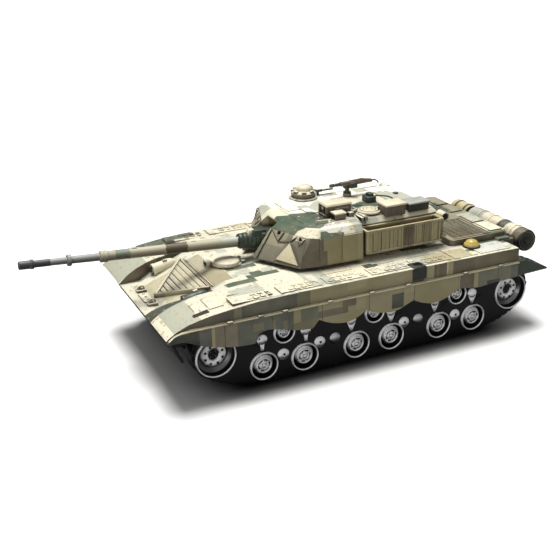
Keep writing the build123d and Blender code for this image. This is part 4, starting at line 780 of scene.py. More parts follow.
    def hexbolt(self, x, y, z, radius, height, axis=(0, 0, 1)):
        profile = [(0, -0.2), (radius, -0.2), (radius, height * 0.7), (radius * 0.82, height),
                   (0, height)]
        self.lathe(profile, "z", (0, 0), 6, standing((x, y, z), axis))

    def tube(self, points, radius, segments=10):
        """Round bar along a line of points."""
        shape = bmesh.new()
        line = [Vector(point) for point in points]
        rings = []
        up = None
        for i, point in enumerate(line):
            along = (line[min(len(line) - 1, i + 1)] - line[max(0, i - 1)]).normalized()
            if up is None:
                up = Vector((0, 0, 1)) if abs(along.z) < 0.9 else Vector((1, 0, 0))
            across = along.cross(up).normalized()
            up = across.cross(along).normalized()
            ring = []
            for k in range(segments):
                angle = 2 * pi * k / segments
                offset = across * (radius * cos(angle))
                ring.append(shape.verts.new(point + offset + up * (radius * sin(angle))))
            rings.append(ring)
        for low, high in zip(rings[:-1], rings[1:]):
            for k in range(segments):
                j = (k + 1) % segments
                shape.faces.new((low[k], low[j], high[j], high[k]))
        shape.faces.new(rings[0])
        shape.faces.new(rings[-1])
        self.add(shape)

    def make(self, name, body, *replaced, flip=False):
        """Turn the part into an object that rides a body and replaces CAD pieces."""
        bm = self.mesh
        if flip:
            bmesh.ops.transform(bm, matrix=Matrix.Diagonal((1, -1, 1, 1)), verts=bm.verts)
            bmesh.ops.reverse_faces(bm, faces=bm.faces)
        to_frame = Matrix.Scale(MM, 4) @ Matrix.Translation((-DATUM_X, 0, 0))
        bmesh.ops.transform(bm, matrix=to_frame, verts=bm.verts)
        for face in bm.faces:
            face.smooth = True
        sharp = radians(32)
        for edge in bm.edges:
            if len(edge.link_faces) == 2 and edge.calc_face_angle(0.0) > sharp:
                edge.smooth = False
        mesh = bpy.data.meshes.new(name)
        bm.to_mesh(mesh)
        bm.free()
        thing = add_object(name, mesh)
        for material in self.materials:
            mesh.materials.append(material)
        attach(thing, body)
        if replaced:
            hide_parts(*replaced)

    def make_pair(self, name, body, *replaced):
        """The left part and its mirror image on the right."""
        mirror = Part(*self.materials)
        pour(self.mesh, mirror.mesh)
        self.make("left_" + name, body, *["left_" + piece for piece in replaced])
        mirror.make("right_" + name, body, *["right_" + piece for piece in replaced],
                    flip=True)


# ---- running gear ----------------------------------------------------------
# rim lip: distance in from the rim, Y
RIM_LIP = ((0, 66.6), (0.12, 66.88), (0.42, 67.05), (0.78, 66.9), (0.95, 66.5))
# road wheel hub: radius, Y
ROAD_HUB = (
    (0, 64.6), (5.3, 64.6), (5.3, 65.6), (5.1, 66), (4.6, 66.1), (4.1, 65.9), (3.9, 65.2),
    (3.3, 65.2), (3.2, 65.7), (2.9, 66.2), (2, 66.3), (1.7, 65.8), (1.3, 65.8), (1.1, 66.3),
    (0.6, 66.6), (0, 66.65))


def wheel_rim(part, x, z, radius, outer, inner_y, segments):
    """Bright rim, and black painted shade in the groove inside its lip."""
    part.use(RIM)
    lip = [(radius - inset, y) for inset, y in RIM_LIP]
    part.ring([*outer, *lip, (radius - 1.1, inner_y), (radius - 1.1, 59.2)], "y", (x, z),
              segments)
    part.use(SHADE_FILL)
    part.ring([(radius - 0.95, 59.3), (radius - 0.95, 66.35), (radius - 1.16, 66.45),
               (radius - 1.16, 59.3)], "y", (x, z), segments)


def road_wheel(part, x, z, radius, cone, scale):
    """`cone` is the small radius of the cone; `scale` sizes the hub."""
    radius -= 0.22
    outer = [(radius + 0.2, 59.2), (radius + 0.2, 65.4), (radius, 66)]
    wheel_rim(part, x, z, radius, outer, 62, 48)
    part.lathe([(0, 59.4), (radius - 0.9, 59.4), (radius - 0.9, 60.9), (radius - 1.9, 60.7),
                (0, 60.7)], "y", (x, z), 48)
    part.use(CONE)
    part.lathe([(0, 60.5), (radius - 1.75, 60.5), (radius - 1.7, 61.5), (radius - 2, 62.3),
                (cone + 1.1, 64.3), (cone + 0.5, 64.9), (cone, 65.1), (0, 65.1)],
               "y", (x, z), 48)
    part.use(HUB)
    part.lathe([(r * scale, y) for r, y in ROAD_HUB], "y", (x, z), 40)
    # black painted shade in the groove round the hub
    part.use(SHADE_FILL)
    part.ring([(3.98 * scale, 65), (3.98 * scale, 65.32), (3.22 * scale, 65.32),
               (3.22 * scale, 65)], "y", (x, z), 40)
    part.use(HUB)
    for angle in spokes(6, 20):
        turned = Matrix.Translation((x, 0, z)) @ Matrix.Rotation(-angle, 4, "Y")
        part.box(3 * scale, 4.3 * scale, 65.1, 65.9, -0.5, 0.5, 0.1, turned, 1)
    # black painted shade in five holes
    part.use(SHADE_FILL)
    for angle in spokes(5, 50):
        part.lathe([(0, 65.9), (0.3 * scale, 65.9), (0.3 * scale, 66.33), (0, 66.35)], "y",
                   (x + 2.45 * scale * cos(angle), z + 2.45 * scale * sin(angle)), 8)


def end_wheel(part, x, z):
    radius = END_RADIUS
    wheel_rim(part, x, z, radius, [(radius, 59.2)], 63, 56)
    part.use(DISH)
    part.lathe([(0, 58.9), (radius - 0.9, 58.9), (radius - 1, 62.6), (radius - 1.8, 62.8),
                (10.2, 61.4), (8.8, 60.2), (0, 60.2)], "y", (x, z), 56)
    part.use(HUB)
    part.ring([(8.1, 60), (8.1, 61.7), (7.8, 62.15), (7.3, 62.35), (4.1, 62.5), (3.7, 62.3),
               (3.5, 61.9), (3.5, 60)], "y", (x, z), 48)
    # black painted shade in the centre hole and the ring of small holes
    part.use(SHADE_FILL)
    part.lathe([(0, 59.9), (3.52, 59.9), (3.52, 61), (1.8, 61), (1.4, 61.6), (0, 61.7)],
               "y", (x, z), 32)
    for angle in spokes(8, 22.5):
        part.lathe([(0, 61.6), (0.85, 61.6), (0.85, 62.55), (0.62, 62.58), (0, 62.5)], "y",
                   (x + 5.9 * cos(angle), z + 5.9 * sin(angle)), 14)
    part.use(DISH)
    for angle in spokes(4, 45):
        part.dome(x + 2.3 * cos(angle), 61, z + 2.3 * sin(angle), 0.45, 0.35, (0, 1, 0), 8)


def wheel_set():
    part = Part(RIM, DISH, HUB, SHADE_FILL, CONE)
    for x in ROAD_X:
        road_wheel(part, x, ROAD_Z, ROAD_RADIUS, cone=5.4, scale=1)
    for x in ROLLER_X:
        road_wheel(part, x, ROLLER_Z, ROLLER_RADIUS, cone=3.9, scale=0.74)
    for x in (END_X, -END_X):
        end_wheel(part, x, END_Z)
    part.make_pair("wheel_set", "hull", "road_wheel_faces", "end_wheel_faces")


# caps low between the wheels: x, z, grey and domed or not
LOW_CAPS = ((65.4, 18.5, False), (40, 21.2, False), (29, 21.4, True), (-22.6, 21.5, False),
            (-33.7, 21.3, True), (-63.4, 18.5, False))
HIGH_CAP_X = (79.8, 49.9, 17.4, -12.3, -46.5, -77)
HIGH_CAP_Z = 31.6


def plated_caps():
    part = Part(CAP, GREY_CAP, SHADE_FILL)
    for x, z, grey in LOW_CAPS:
        if grey:
            part.use(GREY_CAP)
            part.lathe([(0, 64.9), (3.8, 64.9), (3.8, 65.8), (3.6, 66.3), (3, 66.9),
                        (1.9, 67.4), (0.8, 67.6), (0, 67.65)], "y", (x, z), 32)
        else:
            part.use(CAP)
            part.lathe([(0, 64.9), (3.85, 64.9), (3.85, 66), (3.6, 66.5), (3, 66.8),
                        (1.2, 67.1), (0.9, 66.95), (0, 66.95)], "y", (x, z), 32)
            # centre dot in black painted shade
            part.use(SHADE_FILL)
            part.lathe([(0, 66.7), (0.75, 66.7), (0.75, 67.08), (0, 67.1)], "y",
                       (x - 0.2, z), 16)
    # caps with a pointed tail below; the front two are slim and have two pins in black painted
    # shade
    for i, x in enumerate(HIGH_CAP_X):
        part.use(CAP)
        part.lathe([(0, 64.9), (3.5, 64.9), (3.5, 66.1), (3.3, 66.5), (2.7, 66.8), (1.3, 67),
                    (0, 67.1)], "y", (x, HIGH_CAP_Z), 32)
        if i < 2:
            part.prism([(x - 1.5, 29.6), (x - 1, 24.9), (x - 0.6, 24.2), (x + 0.6, 24.2),
                        (x + 1, 24.9), (x + 1.5, 29.6)], 64.9, 66.6, 0.25)
            part.use(SHADE_FILL)
            for side in (-1, 1):
                part.lathe([(0, 66.3), (0.5, 66.3), (0.5, 66.95), (0, 66.98)], "y",
                           (x + 1.9 * side, HIGH_CAP_Z + 1.2 * side), 10)
        else:
            part.prism([(x - 3.1, 30.2), (x - 0.7, 24.4), (x, 23.9), (x + 0.7, 24.4),
                        (x + 3.1, 30.2)], 64.9, 66.6, 0.25)
    part.make_pair("plated_caps", "hull", "suspension_caps")


# front half of the tread line: x, z
TREAD = [(0, 1), (40, 1), (60, 1.05), (75, 1.9), (89, 3.5), (102, 6.4), (112, 10.7),
         (119, 15.8), (123.4, 22), (124.9, 29), (124.2, 34)]
TREAD_PITCH = 5.4


def tread_relief():
    """Tread pads round the panel rims, and slanted bars above the road wheels."""
    part = Part(BLACK_PLASTIC)
    line = [(-x, z) for x, z in TREAD[::-1]] + TREAD[1:]
    carried = 0.0        # distance since the last pad at the start of a stretch
    for (x0, z0), (x1, z1) in zip(line[:-1], line[1:]):
        length = hypot(x1 - x0, z1 - z0)
        dx, dz = (x1 - x0) / length, (z1 - z0) / length
        run = -carried
        while True:
            run += TREAD_PITCH
            if run > length:
                carried = length - (run - TREAD_PITCH)
                break
            matrix = Matrix(((dx, 0, -dz, x0 + dx * run), (0, 1, 0, 0),
                             (dz, 0, dx, z0 + dz * run), (0, 0, 0, 1)))
            part.box(-1.9, 1.9, 54.6, 64.6, -0.35, 0.5, 0.22, matrix)
            part.box(-0.8, 0.8, 63.4, 65.25, 0.3, 2, 0.2, matrix, 1)
    for x in ROAD_X:
        lean = 6 if x > 0 else -6
        part.prism([(x - 2, 22.5), (x + 2, 22.5), (x + lean + 1.8, 29), (x + lean - 1.8, 29)],
                   65, 65.95, 0.3)
    part.make_pair("tread_relief", "hull")


# ---- front of the hull -----------------------------------------------------
def glacis_z(x):
    """Height of the sloping front plate."""
    return 43.6 + (126 - x) * (59.55 - 43.6) / 41


def splash_board():
    """Slatted triangle on the front plate, its point forward."""
    part = Part(BOARD_CAMO)
    tip_x, rear_x, half_width = 125.2, 98.6, 27.6
    count, gap = 8, 0.62
    run = tip_x - rear_x
    for i in range(count):
        x0 = rear_x + 0.4 + (run - 1) * i / count
        x1 = rear_x + 0.4 + (run - 1) * (i + 1) / count - gap
        y0 = half_width * (tip_x - x0) / run - 1
        y1 = max(half_width * (tip_x - x1) / run - 1, 0.8)
        z0, z1 = glacis_z(x0), glacis_z(x1)
        part.block((x0, -y0, y0, z0 - 0.2), (x1, -y1, y1, z1 - 0.2),
                   (x0, -y0, y0, z0 + 1.35), (x1, -y1, y1, z1 + 1.25), 0.18)
    for side in (-1, 1):
        across = Vector((half_width, side * run, 0)).normalized()
        tip = Vector((tip_x + 0.2, 0, glacis_z(tip_x)))
        rear = Vector((rear_x - 0.2, side * (half_width + 0.4), glacis_z(rear_x)))
        corners = [tip - across, tip + across, rear + across, rear - across]
        part.loft([corner + Vector((0, 0, -0.3)) for corner in corners],
                  [corner + Vector((0, 0, 2.45)) for corner in corners], 0.35)
    for x in (rear_x - 0.9, rear_x - 3):
        z = glacis_z(x)
        part.block(*((x + dx, -half_width, half_width, z + dz) for dz in (-0.3, 0.8)
                     for dx in (-0.3, 0.3)), 0.15)
    part.make("splash_board", "hull")


def driver_hatch():
    part = Part(PALE_PAINT, DETAIL_CAMO, SHADE_FILL)
    x, y = 75.8, 1.6
    part.lathe([(0, 59.2), (10.2, 59.2), (10.2, 59.9), (9.9, 60.15), (9.4, 60.2), (0, 60.2)],
               "z", (x, y), 56)
    part.lathe([(0, 60.2), (8.5, 60), (8.5, 61.5), (8.2, 62), (7.2, 62.5), (4.4, 62.85),
                (2.4, 63), (0, 63.05)], "z", (x + 0.8, y + 2.2), 48)
    part.use(DETAIL_CAMO)
    part.boxes((85.6, 89.6, -5.4, 1.2, 57.6, 61.4, 0.4),
               (x - 11.2, x - 8, -5, -0.6, 59.3, 61.2, 0.4),
               (x - 11.2, x - 8, 3, 7.4, 59.3, 61.2, 0.4))
    # periscope window in black painted shade
    part.use(SHADE_FILL)
    part.box(89.3, 89.9, -4.8, 0.6, 58.6, 61, 0.1)
    part.use(PALE_PAINT)
    for angle in spokes(6, 20):
        part.dome(x + 9.6 * cos(angle), y + 9.6 * sin(angle), 60.1, 0.4, 0.3)
    part.make("driver_hatch", "hull")


def tow_hooks():
    part = Part(DETAIL_CAMO, DETAIL_CAMO)
    for y in (-12, 12):
        part.slot = 0
        part.box(127.6, 134.2, y - 2, y + 2, 43.3, 45.9, 0.4)
        part.slot = 1
        arc = [radians(turn) for turn in range(-40, 221, 20)]
        part.tube([(131 + 2 * cos(a), y, 46.6 + 1.7 * sin(a)) for a in arc], 0.55)
    part.slot = 0
    part.box(128.4, 134.6, -7.5, 7.5, 43.6, 45.2, 0.35)
    for y in (-5.4, 0, 5.4):
        part.hexbolt(131.4, y, 45.2, 0.9, 0.6)
    part.make("tow_hooks", "hull")


# lamp shell from its closed back to its open front: radius, distance ahead
LAMP_SHELL = (
    (0, -17.2), (2.4, -16.4), (3.6, -14.6), (4.15, -12), (4.15, -10.3), (4.05, -10), (4.05, -2),
    (4.3, -1.6), (4.3, -0.5), (4.1, 0), (3.5, 0.1), (3.1, -0.5), (3.1, -3))


def lamp_shells():
    part = Part(CREAM_PAINT, DARK_PAINT, DETAIL_CAMO, LENS)
    for side in (-1, 1):
        aim = (Matrix.Translation((117, side * 30.4, 50.2))
               @ Matrix.Rotation(radians(-2 * side), 4, "Z")
               @ Matrix.Rotation(radians(10), 4, "Y"))
        # the left pod is dark green, partly paint and partly painted shade from the fender wall
        part.use(CREAM_PAINT if side < 0 else DARK_PAINT)
        part.lathe(LAMP_SHELL, "x", (0, 0), 36, aim)
        part.use(LENS)
        part.lathe([(0, 1.7), (1.4, 1.45), (2.5, 0.8), (3.05, -0.1), (3.05, -0.24),
                    (0, -0.24)], "x", (0, 0), 32, aim)
        part.use(DETAIL_CAMO)
        part.box(-11, -8, -side - 1, -side + 1, 3.6, 4.9, 0.2, aim)
    part.make("lamp_shells", "hull", "headlight_pods")


# top of the fender from front to rear: x, z
FENDER_TOP = ((141, 45.2), (139.6, 46.5), (137.2, 48.1), (134, 49.9), (130.6, 51.4),
              (127, 52.7), (120, 54.4), (113, 55.7), (100, 57.3), (83, 58.7), (54, 59.5),
              (-130, 59.5))


def fender_z(x):
    for (x0, z0), (x1, z1) in zip(FENDER_TOP[:-1], FENDER_TOP[1:]):
        if x1 <= x <= x0:
            return z1 + (z0 - z1) * (x - x1) / (x0 - x1)


def fender_fittings():
    part = Part(HULL_CAMO, RECESS, BLACKGREEN_PAINT)
    # stepped blocks where the fender meets the glacis
    part.block((111.5, 46, 59, 55), (119.5, 46.5, 59, 53.6),
               (111.5, 46, 56, 56.6), (119, 46.5, 56, 55.3), 0.3)
    part.block((101.5, 44, 61, 56.4), (110.6, 44, 61, 55.2),
               (101.5, 44, 61, 57.7), (110.6, 44, 61, 56.6), 0.3)
    # a slot, as a low block in dark painted shade
    part.use(RECESS)
    part.block((112, 60, 64, 55.2), (121.6, 60.4, 63.6, 53.6),
               (112, 60, 64, 56.4), (121.6, 60.4, 63.6, 54.6), 0.25)
    part.use(HULL_CAMO)
    # five groups of small lugs, each beside two long low strips
    for group in range(5):
        x0 = 70.5 - 32 * group
        x1 = x0 + 27
        for k in range(6):
            x = x0 + (x1 - x0) * (k + 0.5) / 6
            z = fender_z(x) + 0.35
            vary = (k * 7 + int(x0)) % 5
            if vary != 3:
                part.box(x - 1.6, x + 1 + 0.2 * vary, 62.4, 64 + 0.3 * vary,
                         z - 0.7, z + 0.75)
            if vary != 1:
                part.box(x - 1, x + 1.2 + 0.2 * vary, 57 + 0.2 * vary, 59.2, z - 0.7, z + 0.6)
            part.box(x - 1.8, x - 0.9, 60, 61.9, z - 0.7, z + 0.5, 0.12)
            part.dome(x + 0.9, 60.8, z, 0.45, 0.45)
        for y in (50, 53.6):
            part.box(x0 + 2, x1 - 2, y, y + 0.9, fender_z(x0) - 0.6, fender_z(x1) + 0.35, 0.15)
    for x in (102, 82, 66, 35, 5, -22, -67, -96):
        part.box(x - 1.7, x + 1.7, 69.6, 71.7, 48.9, 50.5, 0.22)
    # panels of the rear fender
    part.box(-107.5, -82, 51.5, 66.5, 59, 60, 0.3)
    part.box(-79.5, -61, 45, 66.5, 59, 59.95, 0.3)
    for x in (-105.5, -84):
        for y in (53.4, 64.6):
            part.dome(x, y, 60, 0.6, 0.45)
    part.use(BLACKGREEN_PAINT)
    part.box(-36.6, -27, 60.5, 69.6, 58.6, 60, 0.25)
    part.box(-36.6, -27, 68.6, 69.75, 51.6, 60)
    part.make_pair("fender_fittings", "hull")


# ---- rear of the hull ------------------------------------------------------
def drum_fittings():
    """Bands, fine ribs and the left end of the drum that lies across the tail."""
    part = Part(DRUM_CAMO, DRUM_END, BROWN_PAINT)
    x, z, radius = -133, 55.8, 7.9
    bands = (2, 14, 27, 40)
    for y in bands:
        part.ring([(radius - 0.5, y - 1), (radius + 0.35, y - 0.8), (radius + 0.5, y),
                   (radius + 0.35, y + 0.8), (radius - 0.5, y + 1)], "y", (x, z), 48)
    for k in range(3, 50):
        y = -9 + k * 1.25
        if min(abs(y - band) for band in bands) > 1.4 and y < 50.5:
            part.ring([(radius - 0.3, y - 0.42), (radius + 0.12, y - 0.2),
                       (radius + 0.12, y + 0.2), (radius - 0.3, y + 0.42)], "y", (x, z), 40)
    part.use(DRUM_END)
    part.ring([(radius - 1.7, 51.6), (radius - 1.7, 52), (radius - 0.9, 52.55),
               (radius - 0.2, 52.3), (radius + 0.1, 51.2), (radius - 0.4, 50.4)],
              "y", (x, z), 48)
    part.lathe([(0, 51.2), (5.6, 51.2), (5.4, 51.8), (4.6, 51.9), (4.2, 51.6), (2.4, 51.6),
                (2.2, 52.4), (1.6, 52.8), (0, 52.9)], "y", (x, z), 40)
    for angle in spokes(6):
        part.dome(x + 5 * cos(angle), 51.8, z + 5 * sin(angle), 0.4, 0.35, (0, 1, 0), 8)
    part.use(BROWN_PAINT)
    for y in (-26.2, -15.6):
        part.ring([(6.2, y - 1), (7, y - 0.8), (7, y + 0.8), (6.2, y + 1)], "y",
                  (x + 1, z + 1.6), 40)
    part.make("drum_fittings", "hull")


def deck_grilles():
    part = Part(DECK_CAMO, DECK_CAMO)
    for side in (-1, 1):
        ends = (side * 9, side * 43.4)
        for k in range(19):
            x = -77 - k * 1.45
            part.block((x - 0.48, *ends, 63.6), (x + 0.12, *ends, 63.6),
                       (x - 0.10, *ends, 64.35), (x + 0.45, *ends, 64.35), 0.08, None, 1)
        part.boxes((-105.4, -75.6, side * 44.2 - 0.7, side * 44.2 + 0.7, 63.4, 64.45, 0.25),
                   (-105.4, -75.6, side * 8.2 - 0.7, side * 8.2 + 0.7, 63.4, 64.45, 0.25),
                   (-106.4, -105.2, side * 44.6, side * 7.6, 63.4, 64.45, 0.2),
                   (-118, -107.6, side * 24, side * 42.5, 63.6, 65, 0.4),
                   (-118, -107.6, side * 5, side * 21.5, 63.6, 64.9, 0.4))
        for x in (-116.4, -109.2):
            for y in (26, 40.5, 7, 19.5):
                part.dome(x, side * y, 64.9, 0.55, 0.45)
    part.slot = 1
    part.box(-105, -75.8, -7.6, 7.6, 63.4, 64.4, 0.4)
    part.lathe([(0, 64.2), (6.4, 64.2), (6.4, 65.2), (6, 65.6), (5.2, 65.6), (5, 65.2),
                (0, 65.3)], "z", (-88, 0), 36)
    for k in range(4):
        y = -5.4 + 3.6 * k
        part.tube([(-98, y, 64.4), (-98, y, 65.4), (-94.8, y, 65.4), (-94.8, y, 64.4)], 0.3, 8)
    part.make("deck_grilles", "hull")


def tail_fittings():
    part = Part(DARK_PAINT, RED_LENS, CLEAR)
    part.box(-122.4, -120.6, -46, 46, 43, 49, 0.5)
    for side in (-1, 1):
        part.box(-123.4, -120.8, side * 30, side * 44, 50.4, 55.6, 0.5)
        for y, lens in ((33.4, RED_LENS), (40.4, CLEAR)):
            part.use(lens)
            part.rod((-122.9, side * y, 53), (-124, side * y, 53), 1.8, 20, 0.3)
        part.use(DARK_PAINT)
        arc = [radians(turn) for turn in range(0, 181, 20)]
        part.tube([(-122 - 2.6 * sin(a), side * 20 + 2.6 * cos(a), 46) for a in arc], 0.7)
        for y in (8, 26):
            part.hexbolt(-122.4, side * y, 46, 1.1, 0.8, (-1, 0, 0))
    for k in range(7):
        part.box(-122.9, -121.9, -12, 12, 50.6 + k * 1.1, 51.2 + k * 1.1, 0.12, None, 1)
    # tail lip of the fenders
    for side in (-1, 1):
        part.box(-113, -111.6, side * 53.5, side * 68.6, 50.6, 58.6, 0.3)
        for y in (57, 65):
            part.hexbolt(-113, side * y, 55, 0.8, 0.5, (-1, 0, 0))
    part.make("tail_fittings", "hull")


def flap_z(x):
    """Top of the mudflap, which bends down behind X -118.5."""
    if x > -118.5:
        return 49.9 - max(0.0, (-112 - x) * 0.0462)
    return 49.6 - (-118.5 - x) * 8.6 / 19.5


def mudflap_ribs():
    part = Part(DARK_PAINT)
    for k in range(4):
        x0, x1 = -115.5 - k * 5.2, -117.1 - k * 5.2
        part.block(*((x, 55, 68, flap_z(x) + dz) for dz in (-0.5, 0.55) for x in (x0, x1)))
    part.make_pair("mudflap_ribs", "hull")


def filler_cap():
    part = Part(YELLOW, RECESS)
    centre = (-84.5, 52.4)
    # dark painted shade round the foot of the cap
    part.use(RECESS)
    part.lathe([(0, 59.2), (6.1, 59.2), (6.1, 60.6), (5.8, 60.9), (5.4, 60.9), (0, 60.9)],
               "z", centre, 40)
    part.use(YELLOW)
    part.lathe([(0, 60.4), (5.3, 60.4), (5.4, 61.2), (5.1, 62.2), (4.6, 62.6), (4.4, 63),
                (3.6, 64), (2.4, 64.7), (1.2, 65), (0, 65.1)], "z", centre, 48)
    part.make("filler_cap", "hull", "fuel_cap")


# ---- turret ----------------------------------------------------------------
def cheek(u, v, offset):
    """Point on the sloping cheek: u runs outwards and back, v up, offset off the face."""
    bottom = Vector((60 - 19 * u, 8 + 32.4 * u, 62))
    top = Vector((45.5 - 11 * u, 8 + 30.2 * u, 81))
    along = Vector((-19, 32.4, 0)) * (1 - v) + Vector((-11, 30.2, 0)) * v
    normal = along.cross(top - bottom).normalized()
    return bottom.lerp(top, v) + normal * offset


def cheek_plate(part, corners, rise, bevel=0.25):
    """Plate on the cheek; `rise` is one height or one per corner."""
    rises = rise if isinstance(rise, list) else [rise] * len(corners)
    part.loft([cheek(u, v, -0.7) for u, v in corners],
              [cheek(u, v, height) for (u, v), height in zip(corners, rises)],
              bevel, limit=35, split=True)


def cheek_armour():
    part = Part(CHEEK_CAMO, LIT_WEDGE_CAMO, SHADE_FILL)
    cheek_plate(part, [(0.005, 0), (0.085, 0), (0.045, 0.94), (0, 0.97)], 0.95, 0.2)
    cheek_plate(part, [(0.115, 0.01), (0.455, 0.03), (0.475, 0.14), (0.60, 0.66),
                       (0.36, 0.60), (0.075, 0.90)], 0.55)
    cheek_plate(part, [(0.375, 0.66), (0.62, 0.74), (0.745, 0.955), (0.42, 0.975)], 0.55)
    cheek_plate(part, [(0.66, 0.71), (0.965, 0.14), (0.995, 0.2), (1, 0.90), (0.865, 0.62),
                       (0.765, 0.90)], 0.55)
    cheek_plate(part, [(0.47, 0), (0.97, 0), (0.97, 0.07), (0.49, 0.10)], 0.5)
    # the wedge, paler with painted light
    part.use(LIT_WEDGE_CAMO)
    cheek_plate(part, [(0.487, 0.115), (0.965, 0.085), (0.625, 0.70)], [1.9, 1.9, 0.75], 0.2)
    part.use(CHEEK_CAMO)
    cheek_plate(part, [(0.085, 0.945), (0.345, 0.665), (0.385, 0.965)], 1.15, 0.15)
    cheek_plate(part, [(0.78, 0.955), (0.862, 0.70), (0.985, 0.955)], 1.15, 0.15)
    # vents and a thin line between plates in black painted shade
    part.use(SHADE_FILL)
    for u, v in ((0.285, 0.91), (0.873, 0.90)):
        part.box(-1.35, 1.35, -1.1, 1.1, -0.5, 1.35, 0.15,
                 standing(cheek(u, v, 0), (0.70, 0.42, 0.55)))
    cheek_plate(part, [(0.1, 0), (0.112, 0), (0.070, 0.93), (0.058, 0.93)], 0.12, 0)
    part.make_pair("cheek_armour", "turret")


def side_y(x, z):
    """Turret side face between Z 62 and 81."""
    low = 43 + (28 - x) * 0.6 / 32
    high = 42.2 + (29 - x) * 0.6 / 33
    return low + (high - low) * ((z - 62) / 19)


def turret_side_panels():
    part = Part(TURRET_CAMO)
    for x0, x1 in ((12.3, 27.6), (-3.4, 11.3)):
        part.block(*((x, side_y(x, z) - 0.5, side_y(x, z) + 0.45, z) for z in (62.8, 80.6)
                     for x in (x0, x1)), 0.25)
    part.block(*((x, 41.9, 42.4, z) for z in (64, 80) for x in (-3.9, -3.5)), 0.1)
    part.make_pair("turret_side_panels", "turret")


def roof_fittings():
    part = Part(TURRET_CAMO, DETAIL_CAMO, SHADE_FILL)
    part.boxes((-1, 19, -12, 10, 86.3, 87.15, 0.3), (-52, -44, -14, 16, 86.3, 87, 0.3),
               (14.5, 29, -24, -2, 86.3, 87, 0.3), (-4, 11.5, 27.2, 33.8, 86.2, 86.9, 0.25))
    for x in (-12.4, -9.4):
        part.use(DETAIL_CAMO)
        part.box(x, x + 1.9, 24.2, 34.6, 84.6, 87.1, 0.25)
        # a thin painted shadow beside each bar
        part.use(SHADE_FILL)
        part.box(x + 1.85, x + 2.1, 24.8, 34, 85.2, 86.8, 0.05, None, 1)
    part.use(DETAIL_CAMO)
    part.tube([(24, 30, 86.2), (24, 30, 88.4), (14, 32, 88.6), (14, 32, 86.2)], 0.45)
    part.tube([(-12, 15, 86.2), (-12, 15, 88.2), (-12, 20, 88.2), (-12, 20, 86.2)], 0.4)
    for x, y in ((27.5, 12), (27.5, -14), (17, 20), (-2, 30), (-40, 12), (-54, 14), (-54, -12),
                 (-40, -10)):
        part.dome(x, y, 86.45, 0.8, 0.6)
    # two small blocks beside the sight
    part.box(-5.2, -1.6, 25.2, 28.4, 86.2, 89.8, 0.35)
    part.box(-9.6, -6.6, 21.6, 23.6, 86.3, 89.2, 0.35)
    # a thin painted shadow beside the small block
    part.use(SHADE_FILL)
    part.box(-1.7, -1.35, 25.6, 28, 87, 89.3, 0.05, None, 1)
    part.make("roof_fittings", "turret")


def sight_box():
    """Rectangular sight with a lid and a framed window facing forward."""
    part = Part(SIGHT_CAMO, CREAM_PAINT, SHADE_FILL, LENS)
    part.box(-6.2, 11.6, 12.4, 22.8, 86.3, 94.4, 0.5)
    part.use(CREAM_PAINT)
    part.block((-6.9, 11.7, 23.5, 94), (13, 11.7, 23.5, 94),
               (-6.3, 12.3, 22.9, 95.5), (12.3, 12.3, 22.9, 95.5), 0.3)
    part.use(SIGHT_CAMO)
    part.boxes((11.2, 13, 11.9, 13.4, 87.4, 94.3, 0.25),
               (11.2, 13, 21.8, 23.3, 87.4, 94.3, 0.25),
               (11.2, 13, 11.9, 23.3, 86.5, 88.2, 0.25))
    # window opening in black painted shade
    part.use(SHADE_FILL)
    part.box(11.4, 12, 13.2, 22, 88, 94, 0.1)
    part.use(LENS)
    part.box(11.8, 12.25, 14.2, 18.4, 89, 93.2, 0.15)
    part.use(SIGHT_CAMO)
    part.box(-4, 6, 22.6, 23.4, 88.4, 92.4, 0.25)
    for x in (-2.8, 4.8):
        for z in (89.2, 91.6):
            part.dome(x, 23.4, z, 0.4, 0.3, (0, 1, 0), 8)
    part.make("sight_box", "turret", "sight_housing")


def roof_stowage():
    part = Part(BROWN_PAINT, CREAM_PAINT, SHADE_FILL, BLACKGREEN_PAINT, GREY_PAINT, DARK_PAINT)
    # the thin black rows are slits in painted shade
    for material, box in (
            (BROWN_PAINT, (2.4, 10.2, 24.8, 31.2, 84.8, 91, 0.45)),
            (CREAM_PAINT, (2, 10.7, 24.4, 31.6, 90.7, 91.7, 0.3)),
            (SHADE_FILL, (10.1, 10.5, 25.8, 30.2, 86.4, 89.8, 0.12)),
            (BROWN_PAINT, (-42.2, -26.8, 22.6, 33.8, 84.4, 91.6, 0.5)),
            (CREAM_PAINT, (-42.9, -26.2, 22, 34.5, 91.2, 92.6, 0.4)),
            (BROWN_PAINT, (-40.1, -39.1, 33.6, 34.3, 85.4, 91, 0.15)),
            (BROWN_PAINT, (-35.1, -34.1, 33.6, 34.3, 85.4, 91, 0.15)),
            (BROWN_PAINT, (-30.1, -29.1, 33.6, 34.3, 85.4, 91, 0.15)),
            (BLACKGREEN_PAINT, (-62, -46, 21.2, 32.2, 84.4, 90, 0.5)),
            (GREY_PAINT, (-62.6, -45.5, 20.7, 32.8, 89.6, 90.8, 0.35)),
            (DARK_PAINT, (-35, -28, -1, 7, 86.2, 90.6, 0.5)),
            (DARK_PAINT, (-33.8, -30, 0.6, 5.4, 90.3, 92.6, 0.4)),
            (SHADE_FILL, (-30.2, -29.85, 1.2, 4.8, 90.9, 92.2, 0.08))):
        part.use(material)
        part.box(*box)
    part.use(DARK_PAINT)
    part.tube([(-34, 4, 90), (-36, 6.5, 90.9), (-39, 9, 91.1), (-42.5, 11.5, 90.6),
               (-44.5, 13, 89.4), (-45, 13.4, 86.4)], 0.55)
    part.make("roof_stowage", "turret", "roof_boxes")


